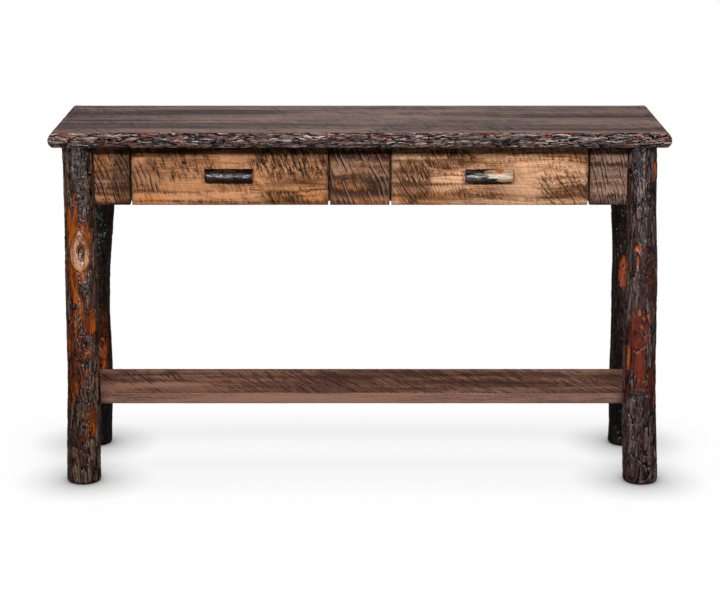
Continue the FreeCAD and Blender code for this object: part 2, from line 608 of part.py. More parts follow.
# Drawer carcass: guides beside each drawer, runners under it, stops above it, and cleats that hold the top
GUIDES = {
    "near": (f"({BOX_NEAR} - guide_play - guide_thick)", f"({BOX_NEAR} - guide_play)"),
    "far": (f"({BOX_FAR} + guide_play)", f"({BOX_FAR} + guide_play + guide_thick)"),
}
RUNNERS = {
    "near": (f"({BOX_NEAR} - guide_play)", f"({BOX_NEAR} - guide_play + runner_width)"),
    "far": (f"({BOX_FAR} + guide_play - runner_width)", f"({BOX_FAR} + guide_play)"),
}
CLEAT_FOOT = f"({UNDERSIDE} - cleat_size)"
CLEAT_FAR = f"({LEG_X} - apron_thick / 2)"
CLEAT_NEAR = f"({CLEAT_FAR} - cleat_size)"
CLEAT_FRONT = f"({FRONT_LEG_REAR} + cleat_end_room)"
CLEAT_BACK = f"({BACK_LEG_FACE} - cleat_end_room)"
CLEAT_MIDDLE_X = f"(({CLEAT_NEAR} + {CLEAT_FAR}) / 2)"
CLEAT_MIDDLE_Z = f"(({CLEAT_FOOT} + {UNDERSIDE}) / 2)"
CENTRE_CLEAT_HALF = f"({GUIDES['near'][0]} - fit_play)"
CENTRE_CLEAT_Y = f"({APRON_REAR} + cleat_size / 2)"
SIGNS = ("-1", "1")
CLEAT_LEVEL_SEATS = {
    side: [(sided(side, CLEAT_NEAR), share(CLEAT_FRONT, CLEAT_BACK, part), CLEAT_MIDDLE_Z)
           for part in CLEAT_LEVEL_SHARES]
    for side in SIDES
}
CLEAT_UPRIGHT_SEATS = [
    (sided(side, CLEAT_MIDDLE_X), share(CLEAT_FRONT, CLEAT_BACK, part), CLEAT_FOOT)
    for side in SIDES for part in CLEAT_UPRIGHT_SHARES
] + [(f"{sign} * {CENTRE_CLEAT_HALF} * {CENTRE_UPRIGHT_SHARE}", CENTRE_CLEAT_Y, CLEAT_FOOT) for sign in SIGNS]
CENTRE_LEVEL_SEATS = [
    (f"{sign} * {CENTRE_CLEAT_HALF} * {CENTRE_LEVEL_SHARE}", f"({APRON_REAR} + cleat_size)", CLEAT_MIDDLE_Z)
    for sign in SIGNS
]
STOP_SEATS = [
    (sided(side, DRAWER_MIDDLE), f"({STOP_FRONT} + {STOP_BACK}) / 2", f"({UNDERSIDE} - stop_drop)")
    for side in SIDES
]
GUIDE_SEATS = [
    (sided(side, f"({low} + {high}) / 2"), BACK_APRON_REAR, share(RUNNER_FOOT, UNDERSIDE, part))
    for side in SIDES for low, high in GUIDES.values() for part in GUIDE_SCREW_SHARES
]
RUNNER_MIDDLE_Z = f"(({RUNNER_FOOT} + {RUNNER_CREST}) / 2)"
RUNNER_SCREW_PLACES = [
    (share(APRON_REAR, BACK_APRON_FACE, part), RUNNER_MIDDLE_Z) for part in RUNNER_SCREW_SHARES
]


def drawer_carcass():
    """The boards and runners that each drawer slides between."""
    for side in SIDES:
        for place in GUIDES:
            low, high = span(side, *GUIDES[place])
            far_corner = (high, BACK_APRON_FACE, UNDERSIDE)
            guide = board(f"guide_{side}_{place}", (low, APRON_REAR, RUNNER_FOOT), far_corner)
            centre_x = sided(side, f"({GUIDES[place][0]} + {GUIDES[place][1]}) / 2")
            ends = [(centre_x, share(RUNNER_FOOT, UNDERSIDE, part)) for part in GUIDE_SCREW_SHARES]
            guide.drill("y", ends, HOLE, f"{BACK_APRON_FACE} - {PILOT}", BACK_APRON_FACE)
            near, far = GUIDES[place]
            if place == "near":
                face = span(side, f"({far} - {PILOT})", far)
            else:
                face = span(side, near, f"({near} + {PILOT})")
            guide.drill("x", RUNNER_SCREW_PLACES, HOLE, *face)
            low, high = span(side, *RUNNERS[place])
            runner = board(f"runner_{side}_{place}", (low, APRON_REAR, RUNNER_FOOT),
                           (high, BACK_APRON_FACE, RUNNER_CREST))
            runner.drill("x", RUNNER_SCREW_PLACES, HOLE, low, high)
        middle = DRAWER_MIDDLE
        low, high = span(side, f"({middle} - stop_length / 2)", f"({middle} + stop_length / 2)")
        stop = board(f"drawer_stop_{side}", (low, STOP_FRONT, f"({UNDERSIDE} - stop_drop)"),
                     (high, STOP_BACK, UNDERSIDE))
        seat = STOP_SEATS[list(SIDES).index(side)]
        stop.drill("z", (seat[:2],), HOLE, f"({UNDERSIDE} - stop_drop)", UNDERSIDE)


def top_cleats():
    """The strips that hold the top to the apron."""
    for side in SIDES:
        low, high = span(side, CLEAT_NEAR, CLEAT_FAR)
        cleat = board(f"top_cleat_{side}", (low, CLEAT_FRONT, CLEAT_FOOT), (high, CLEAT_BACK, UNDERSIDE))
        cleat.drill("x", [seat[1:] for seat in CLEAT_LEVEL_SEATS[side]], HOLE, low, high)
        upright = [seat[:2] for seat in CLEAT_UPRIGHT_SEATS[:4] if value(seat[0]) * SIDES[side] > 0]
        cleat.drill("z", upright, HOLE, CLEAT_FOOT, UNDERSIDE)
    centre = board("top_cleat_centre", (f"-{CENTRE_CLEAT_HALF}", APRON_REAR, CLEAT_FOOT),
                   (CENTRE_CLEAT_HALF, f"({APRON_REAR} + cleat_size)", UNDERSIDE))
    centre.drill("z", [seat[:2] for seat in CLEAT_UPRIGHT_SEATS[4:]], HOLE, CLEAT_FOOT, UNDERSIDE)
    seats = [seat[::2] for seat in CENTRE_LEVEL_SEATS]
    centre.drill("y", seats, HOLE, APRON_REAR, f"({APRON_REAR} + cleat_size)")


# Drawers: a sawn front screwed to a box of four housed walls and a loose bottom, with a twig pull
def drawer(side):
    """All the pieces of one drawer."""
    low, high = span(side, DRAWER_NEAR, DRAWER_FAR)
    front = board(f"drawer_{side}_front", (low, APRON_FACE, APRON_FOOT), (high, BOX_FRONT, DRAWER_CREST))
    inner_front, inner_back = f"({BOX_FRONT} + box_wall)", f"({BOX_BACK} - box_wall)"
    near_face, far_face = f"({BOX_NEAR} + box_wall)", f"({BOX_FAR} - box_wall)"
    groove_foot, groove_crest = f"({PANEL_FOOT} - fit_play)", f"({PANEL_CREST} + fit_play)"
    walls = {
        "near": (BOX_NEAR, near_face, f"({near_face} - box_dado)", f"({near_face} - box_groove)"),
        "far": (far_face, BOX_FAR, f"({far_face} + box_dado)", f"({far_face} + box_groove)"),
    }
    for place, (near, far, dado, groove) in walls.items():
        low, high = span(side, near, far)
        wall = board(f"drawer_{side}_side_{place}", (low, BOX_FRONT, BOX_FOOT), (high, BOX_BACK, BOX_RIM))
        edge = f"({far} + overrun)" if place == "near" else f"({near} - overrun)"
        for y0, y1 in ((BOX_FRONT, inner_front), (inner_back, BOX_BACK)):
            y0 = f"({y0} - {'overrun' if y0 == BOX_FRONT else 'fit_play'})"
            y1 = f"({y1} + {'overrun' if y1 == BOX_BACK else 'fit_play'})"
            low, high = span(side, *((dado, edge) if place == "near" else (edge, dado)))
            wall.cut((low, y0, f"({BOX_FOOT} - overrun)"), (high, y1, f"({BOX_RIM} + overrun)"))
        low, high = span(side, *((groove, edge) if place == "near" else (edge, groove)))
        near_corner = (low, f"({BOX_FRONT} - overrun)", groove_foot)
        wall.cut(near_corner, (high, f"({BOX_BACK} + overrun)", groove_crest))
    low, high = span(side, f"({walls['near'][2]} + fit_play)", f"({walls['far'][2]} - fit_play)")
    box_front = board(f"drawer_{side}_box_front", (low, BOX_FRONT, BOX_FOOT), (high, inner_front, BOX_RIM))
    box_front.cut((f"({low} - overrun)", f"({inner_front} - box_groove)", groove_foot),
                  (f"({high} + overrun)", f"({inner_front} + overrun)", groove_crest))
    box_back = board(f"drawer_{side}_box_back", (low, inner_back, BOX_FOOT), (high, BOX_BACK, BOX_RIM))
    box_back.cut((f"({low} - overrun)", f"({inner_back} - overrun)", groove_foot),
                 (f"({high} + overrun)", f"({inner_back} + box_groove)", groove_crest))
    low, high = span(side, f"({walls['near'][3]} + fit_play)", f"({walls['far'][3]} - fit_play)")
    board(f"drawer_{side}_bottom", (low, f"({inner_front} - box_groove + fit_play)", PANEL_FOOT),
          (high, f"({inner_back} + box_groove - fit_play)", PANEL_CREST))
    pull(side)
    pull_holes = [(sided(side, DRAWER_MIDDLE) + f" + {sign} * pull_screw_reach", PULL_Z) for sign in SIGNS]
    front_holes = [(sided(side, share(BOX_NEAR, BOX_FAR, along)), share(BOX_FOOT, BOX_RIM, up))
                   for along in FRONT_SCREW_X_SHARES for up in FRONT_SCREW_Z_SHARES]
    box_front.drill("y", pull_holes + front_holes, HOLE, BOX_FRONT, inner_front)
    front.drill("y", pull_holes, HOLE, APRON_FACE, BOX_FRONT)
    front.drill("y", front_holes, HOLE, f"({BOX_FRONT} - {PILOT})", BOX_FRONT)
    seats = [(x, inner_front, z) for x, z in pull_holes]
    screws(f"drawer_{side}_pull_screws", "y", -1, seats, f"{inner_front} - {APRON_FACE}")
    seats = [(x, inner_front, z) for x, z in front_holes]
    screws(f"drawer_{side}_front_screws", "y", -1, seats, "box_wall")


def pull(side):
    """A length of twig with a flat planed on its back and slanting ends."""
    middle = sided(side, DRAWER_MIDDLE)
    piece = Piece(f"drawer_{side}_pull", (middle, APRON_FACE, PULL_Z))
    girths, bows = PULL_GIRTH_SHARES[side], PULL_BOW_SHARES[side]
    axis_y = f"({APRON_FACE} - pull_diameter / 2 + pull_flat)"
    rings = []
    for number, (girth, bow) in enumerate(zip(girths, bows)):
        along = f"{middle} + pull_length * ({number} / {len(girths) - 1} - 1 / 2)"
        centre = (axis_y, f"{PULL_Z} + pull_diameter * {bow}")
        rings.append(piece.rings("x", along, (centre,), f"pull_diameter * {girth}"))
    piece.loft(rings)
    reach = "(pull_length / 2 + overrun)"
    piece.cut((f"{middle} - {reach}", APRON_FACE, f"{PULL_Z} - pull_diameter"),
              (f"{middle} + {reach}", f"{APRON_FACE} + pull_diameter", f"{PULL_Z} + pull_diameter"))
    nose = f"({APRON_FACE} - pull_diameter - overrun)"
    for sign in SIGNS:
        corners = (
            (f"{middle} + {sign} * (pull_length / 2 - pull_slant)", nose),
            (f"{middle} + {sign} * {reach}", nose),
            (f"{middle} + {sign} * {reach}", APRON_FACE),
            (f"{middle} + {sign} * pull_length / 2", APRON_FACE),
        )
        piece.pocket(piece.polygon("z", f"{PULL_Z} + pull_diameter", corners), "2 * pull_diameter")
    holes = [(f"{middle} + {sign} * pull_screw_reach", PULL_Z) for sign in SIGNS]
    piece.drill("y", holes, HOLE, f"({APRON_FACE} - {PILOT})", APRON_FACE)


# Lower shelf: one board on two log stretchers with round tenons
SHELF_SCREW_PLACES = [f"({share(FRONT_LEG_REAR, BACK_LEG_FACE, part)})" for part in SHELF_SCREW_SHARES]
SHELF_SCREW_SEAT = f"({STRETCHER_Z} - stretcher_diameter / 2 + counterbore_depth)"


def lower_shelf():
    """The shelf board, bevelled along its front and back."""
    left, right = f"({STRETCHER_X['left']} - shelf_overlap)", f"({STRETCHER_X['right']} + shelf_overlap)"
    front = f"({FRONT_LEG_REAR} + shelf_play)"
    back = f"({BACK_LEG_FACE} - shelf_play)"
    piece = Piece("lower_shelf", (left, front, SHELF_FOOT))
    outline = (
        (f"{front} + shelf_bevel", SHELF_FOOT), (f"{back} - shelf_bevel", SHELF_FOOT),
        (back, f"{SHELF_FOOT} + shelf_bevel"), (back, "shelf_top - shelf_bevel"),
        (f"{back} - shelf_bevel", "shelf_top"), (f"{front} + shelf_bevel", "shelf_top"),
        (front, "shelf_top - shelf_bevel"), (front, f"{SHELF_FOOT} + shelf_bevel"),
    )
    piece.pad(piece.polygon("x", left, outline), f"({right} - {left})")
    holes = [(STRETCHER_X[side], y) for side in SIDES for y in SHELF_SCREW_PLACES]
    piece.drill("z", holes, HOLE, SHELF_FOOT, f"({SHELF_FOOT} + {PILOT})")


def stretcher(side):
    """A log turned down to a round tenon at each end, and planed flat where the shelf rests."""
    x = STRETCHER_X[side]
    piece = Piece(f"stretcher_{side}", (x, MID_LEG_Y, STRETCHER_Z))
    tenon, full = f"({STRETCHER_Z} + stretcher_tenon / 2)", f"({STRETCHER_Z} + stretcher_diameter / 2)"
    front_end = f"({FRONT_LEG_Y} + bore_stop + fit_play)"
    back_end = f"({BACK_LEG_Y} - bore_stop - fit_play)"
    front_neck = f"({FRONT_LEG_REAR} + shoulder_gap)"
    back_neck = f"({BACK_LEG_FACE} - shoulder_gap)"
    outline = (
        (front_end, STRETCHER_Z), (back_end, STRETCHER_Z), (back_end, tenon), (back_neck, tenon),
        (f"({back_neck} - shoulder_taper)", full), (f"({front_neck} + shoulder_taper)", full),
        (front_neck, tenon), (front_end, tenon),
    )
    drawn = piece.polygon("x", x, outline)
    made = piece.body.newObject("PartDesign::Revolution", "log")
    made.Profile = (drawn, [""])
    made.ReferenceAxis = (drawn, ["H_Axis"])
    made.Angle = 360
    half = "(stretcher_diameter / 2 + overrun)"
    near_corner = (f"{x} - {half}", front_end, SHELF_FOOT)
    piece.cut(near_corner, (f"{x} + {half}", back_end, f"({SHELF_FOOT} + {half})"))
    holes = [(x, y) for y in SHELF_SCREW_PLACES]
    piece.drill("z", holes, HOLE, SHELF_SCREW_SEAT, SHELF_FOOT)
    wide = "(screw_head + 2 * counterbore_play)"
    piece.drill("z", holes, wide, f"({STRETCHER_Z} - {half})", SHELF_SCREW_SEAT)


def frame_screws():
    """The groups of screws that hold the fixed pieces together."""
    screws("top_screws", "z", 1, CLEAT_UPRIGHT_SEATS, "cleat_size")
    for side in SIDES:
        screws(f"cleat_screws_{side}", "x", SIDES[side], CLEAT_LEVEL_SEATS[side], "cleat_size")
    screws("cleat_screws_centre", "y", -1, CENTRE_LEVEL_SEATS, "cleat_size")
    screws("stop_screws", "z", 1, STOP_SEATS, "stop_drop")
    screws("guide_screws", "y", -1, GUIDE_SEATS, "apron_thick")
    for side in SIDES:
        for place, (near, far) in RUNNERS.items():
            face, sign = (far, -SIDES[side]) if place == "near" else (near, SIDES[side])
            seats = [(sided(side, face), y, z) for y, z in RUNNER_SCREW_PLACES]
            screws(f"runner_screws_{side}_{place}", "x", sign, seats, "runner_width")
    seats = [(STRETCHER_X[side], y, SHELF_SCREW_SEAT) for side in SIDES for y in SHELF_SCREW_PLACES]
    screws("shelf_screws", "z", 1, seats, f"{SHELF_FOOT} - {SHELF_SCREW_SEAT}")


def write_parts():
    """Checks every object and writes each piece to its own file."""
    document.recompute()
    faults = [item.Label for item in document.Objects if {"Invalid", "Error"} & set(item.State)]
    if faults:
        raise RuntimeError(f"these objects failed: {faults}")
    pieces = [item for item in document.Objects if item.TypeId in ("PartDesign::Body", "Part::Feature")]
    for piece in pieces:
        if piece.Shape.isNull() or not piece.Shape.isValid() or not piece.Shape.Solids:
            raise RuntimeError(f"{piece.Label} has no valid solid")
    os.makedirs("parts", exist_ok=True)
    for piece in pieces:
        piece.Shape.exportStep(os.path.join("parts", f"{piece.Label}.step"))
    print(f"{len(pieces)} pieces")
    print("drawer travel", value(f"{BOX_BACK} - box_wall - {STOP_BACK}"))


top_planks()
bark_edges()
leg("leg_front_left", "left", FRONT_LEG_Y, 1)
leg("leg_front_right", "right", FRONT_LEG_Y, 1)
leg("leg_back_left", "left", BACK_LEG_Y, -1)
leg("leg_back_right", "right", BACK_LEG_Y, -1)
apron()
drawer_carcass()
top_cleats()
for drawer_side in SIDES:
    drawer(drawer_side)
lower_shelf()
for stretcher_side in SIDES:
    stretcher(stretcher_side)
frame_screws()
write_parts()
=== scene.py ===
"""Looks of the log console table: barked legs and edges, sawn boards, twig pulls and a pale studio stage.

Lengths are in metres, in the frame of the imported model: X along the table, -Y to the front, Z up.
"""

from __future__ import annotations

import logging
import math
from dataclasses import dataclass
from enum import Enum
from typing import Callable, Sequence

import bmesh
import bpy
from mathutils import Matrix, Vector, noise
from mathutils.bvhtree import BVHTree

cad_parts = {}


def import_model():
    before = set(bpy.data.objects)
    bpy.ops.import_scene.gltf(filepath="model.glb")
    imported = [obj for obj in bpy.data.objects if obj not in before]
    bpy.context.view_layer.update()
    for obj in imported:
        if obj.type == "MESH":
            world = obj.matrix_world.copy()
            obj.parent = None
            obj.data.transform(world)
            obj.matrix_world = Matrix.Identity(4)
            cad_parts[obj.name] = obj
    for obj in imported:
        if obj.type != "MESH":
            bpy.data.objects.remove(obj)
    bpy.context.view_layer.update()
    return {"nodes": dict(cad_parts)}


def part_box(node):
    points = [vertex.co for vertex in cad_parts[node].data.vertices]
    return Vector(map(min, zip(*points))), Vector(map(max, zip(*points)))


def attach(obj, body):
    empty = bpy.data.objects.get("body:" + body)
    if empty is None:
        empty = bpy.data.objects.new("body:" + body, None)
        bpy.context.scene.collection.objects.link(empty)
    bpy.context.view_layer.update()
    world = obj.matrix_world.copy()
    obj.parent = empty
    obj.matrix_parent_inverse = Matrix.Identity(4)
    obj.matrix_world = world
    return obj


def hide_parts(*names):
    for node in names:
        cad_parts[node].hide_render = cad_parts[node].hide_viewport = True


log = logging.getLogger("log_console_table")

# Where noise_vector starts. Unset, it starts from the clock and no two runs give the same bark.
SWAY_SEED = 5

Colour = tuple[float, float, float, float]
Triple = tuple[float, float, float]
Socket = bpy.types.NodeSocket
Material = bpy.types.Material
Piece = bpy.types.Object
Shape = bmesh.types.BMesh
NOWHERE: Triple = (0.0, 0.0, 0.0)


def tone(red: int, green: int, blue: int) -> Colour:
    """A colour from its screen values of 0 to 255."""
    shares = [channel / 255 for channel in (red, green, blue)]
    linear = [share / 12.92 if share <= 0.04045 else ((share + 0.055) / 1.055) ** 2.4 for share in shares]
    return (linear[0], linear[1], linear[2], 1.0)


def ease(low: float, high: float, amount: float) -> float:
    """A smooth step from 0 at low to 1 at high, read at an amount."""
    share = min(max((amount - low) / (high - low), 0.0), 1.0)
    return share * share * (3 - 2 * share)


def sum_method(operation: str) -> Callable[..., Value]:
    """A method of Value that makes one kind of sum with another value or a number."""

    def method(self: Value, other: Operand = 0.0) -> Value:
        """The result of the sum."""
        return self.shader.math(operation, self, other)

    return method


@dataclass(frozen=True)
class Value:
    """A number, vector or colour of a material under construction. Sums of values become nodes."""

    shader: Shader
    socket: Socket

    __add__ = sum_method("ADD")
    __sub__ = sum_method("SUBTRACT")
    __mul__ = sum_method("MULTIPLY")
    __truediv__ = sum_method("DIVIDE")
    __abs__ = sum_method("ABSOLUTE")
    most = sum_method("MAXIMUM")
    least = sum_method("MINIMUM")
    floor = sum_method("FLOOR")
    fract = sum_method("FRACT")

    def __rsub__(self, other: float) -> Value:
        """What a number has over the value."""
        return self.shader.math("SUBTRACT", other, self)

    def step(self, low: float, high: float) -> Value:
        """A smooth step from 0 at low to 1 at high."""
        smooth = {"interpolation_type": "SMOOTHSTEP"}
        return self.shader.value("MapRange", smooth, Value=self, From_Min=low, From_Max=high)

    def band(self, low: float, full: float, fade: float, high: float) -> Value:
        """A smooth rise from low to full and fall from fade to high."""
        return self.step(low, full) * self.step(high, fade)

    def line(self, count: float, width: float) -> Value:
        """Thin contour lines of a smooth field, so many per unit of it."""
        return abs((self * count).fract() - 0.5).step(width, 0.0)

    def parts(self) -> list[Value]:
        """The three parts of a vector."""
        split = self.shader.node("SeparateXYZ", Vector=self)
        return [Value(self.shader, socket) for socket in split.outputs]

    def place(self, scale: Triple, turn: float = 0.0, shift: Triple = NOWHERE) -> Value:
        """The vector moved, turned about its third axis and scaled."""
        turned = self.shader.value("Mapping", Vector=self, Location=shift, Rotation=(0.0, 0.0, turn))
        return self.shader.value("Mapping", Vector=turned, Scale=scale)

    def noise(self, scale: float, detail: float, rough: float, warp: float = 0.0) -> Value:
        """Clouds of values round one half."""
        grain = {"Scale": scale, "Detail": detail, "Roughness": rough, "Distortion": warp}
        return self.shader.value("TexNoise", output="Fac", Vector=self, **grain)

    def cloud(self, scale: Triple, detail: float, rough: float, warp: float = 0.0,
              shift: Triple = NOWHERE) -> Value:
        """Clouds of values round one half, drawn out along the axes."""
        return self.place(scale, shift=shift).noise(1.0, detail, rough, warp)


Operand = Value | float


@dataclass(frozen=True)
class Shine:
    """How a surface shines: depth of relief, specular level, weight and roughness of lacquer, and metal."""

    depth: float
    gloss: float = 0.0
    coat: float = 0.0
    coat_rough: float = 0.3
    metal: float = 0.0


class Shader:
    """A material under construction, with short names for the nodes that the finishes use."""

    def __init__(self, name: str) -> None:
        """Starts an empty node material."""
        self.material = bpy.data.materials.new(name)
        self.material.use_nodes = True
        self.tree = self.material.node_tree
        self.tree.nodes.clear()

    def node(self, kind: str, settings: dict | None = None, **inputs: object) -> bpy.types.Node:
        """Adds a node.

        Args:
            kind: the node's type without its prefix.
            settings: properties of the node itself.
            inputs: a constant or a value for each named input.

        Returns:
            The new node.
        """
        made = self.tree.nodes.new(f"ShaderNode{kind}")
        for key, value in (settings or {}).items():
            setattr(made, key, value)
        for key, value in inputs.items():
            self.feed(made.inputs[key.replace("_", " ")], value)
        return made

    def value(self, kind: str, settings: dict | None = None, output: int | str = 0,
              **inputs: object) -> Value:
        """One output of a new node."""
        return Value(self, self.node(kind, settings, **inputs).outputs[output])

    def feed(self, socket: Socket, value: object) -> None:
        """Links a socket to a value, or sets its constant."""
        if isinstance(value, Value):
            self.tree.links.new(value.socket, socket)
        else:
            socket.default_value = value

    def math(self, operation: str, first: Operand, second: Operand = 0.0) -> Value:
        """The result of one sum."""
        made = self.node("Math", {"operation": operation})
        self.feed(made.inputs[0], first)
        self.feed(made.inputs[1], second)
        return Value(self, made.outputs[0])

    def mix(self, share: Operand, first: object, second: object) -> Value:
        """Two colours mixed by a share."""
        made = self.node("Mix", {"data_type": "RGBA", "clamp_factor": True})
        for number, value in ((0, share), (6, first), (7, second)):
            self.feed(made.inputs[number], value)
        return Value(self, made.outputs[2])

    def coats(self, ground: object, *coats: tuple[Operand, object]) -> Value:
        """A ground colour with further colours laid over it in turn, each by its share."""
        for share, colour in coats:
            ground = self.mix(share, ground, colour)
        return ground

    def blend(self, share: Value, first: Operand, second: Operand) -> Value:
        """Two values mixed by a share."""
        return self.value("Mix", Factor=share, A=first, B=second)

    def ramp(self, share: Value, stops: Sequence[tuple[float, Colour]]) -> Value:
        """A colour read from a row of stops.

        Args:
            share: where to read.
            stops: places from 0 to 1 with their colours.

        Returns:
            The colour.
        """
        made = self.node("ValToRGB", Fac=share)
        elements = made.color_ramp.elements
        while len(elements) < len(stops):
            elements.new(1.0)
        for element, (place, colour) in zip(elements, stops):
            element.position = place
            element.color = colour
        return Value(self, made.outputs["Color"])

    def vector(self, first: Operand, second: Operand, third: Operand) -> Value:
        """A vector of three values."""
        return self.value("CombineXYZ", X=first, Y=second, Z=third)

    def mark(self, name: str, output: str = "Fac") -> Value:
        """A value that the piece's mesh carries."""
        return self.value("Attribute", {"attribute_name": name}, output)

    def lay(self, order: str, source: Value | None = None) -> Value:
        """A vector, or else the object's own place, in the order along, across and through the grain."""
        parts = (source or self.value("TexCoord", output="Object")).parts()
        return self.vector(*(parts["XYZ".index(axis)] for axis in order))

    def close(self, colour: object, roughness: Operand, height: Value, shine: Shine,
              lacquer: Value | None = None) -> Material:
        """Finishes the material.

        Args:
            colour: base colour.
            roughness: roughness of the base.
            height: relief, from 0 to 1.
            shine: how the surface shines.
            lacquer: relief of the lacquer, where it differs from the base's.

        Returns:
            The finished material.
        """
        bump = self.value("Bump", Height=height, Distance=shine.depth, Strength=1.0)
        film = bump
        if lacquer is not None:
            film = self.value("Bump", Height=lacquer, Distance=shine.depth, Strength=1.0)
        surface = self.value(
            "BsdfPrincipled", Base_Color=colour, Roughness=roughness, Normal=bump, Metallic=shine.metal,
            Specular_IOR_Level=shine.gloss, Coat_Weight=shine.coat, Coat_Roughness=shine.coat_rough,
            Coat_Normal=film,
        )
        self.node("OutputMaterial", {"is_active_output": True}, Surface=surface)
        return self.material


@dataclass(frozen=True)
class Patch:
    """A soft oval place on a board: its middle and its half sizes, along and across the grain."""

    along: float
    across: float
    long: float
    wide: float

    def nearness(self, along: Value, across: Value) -> Value:
        """A value of 1 at the patch's middle that falls to 0 at its rim and below 0 outside it."""
        near_along = (along - self.along) / self.long
        near_across = (across - self.across) / self.wide
        return 1.0 - (near_along * near_along + near_across * near_across)


def patches(*rows: tuple[float, float, float, float]) -> tuple[Patch, ...]:
    """Patches from rows of their middles and half sizes."""
    return tuple(Patch(*row) for row in rows)


def nearest(places: Sequence[Patch], along: Value, across: Value) -> Value:
    """The greatest nearness to any of some patches.

    Args:
        places: the patches.
        along: the place along the grain.
        across: the place across the grain.

    Returns:
        A value of 1 at a patch's middle, and 0 outside all of them.
    """
    best = along * 0.0
    for patch in places:
        best = best.most(patch.nearness(along, across))
    return best


class Lay(Enum):
    """How a board lies: its axes along, across and through the grain."""

    FRONT = "XZY"
    FLAT = "XYZ"
    END = "YZX"


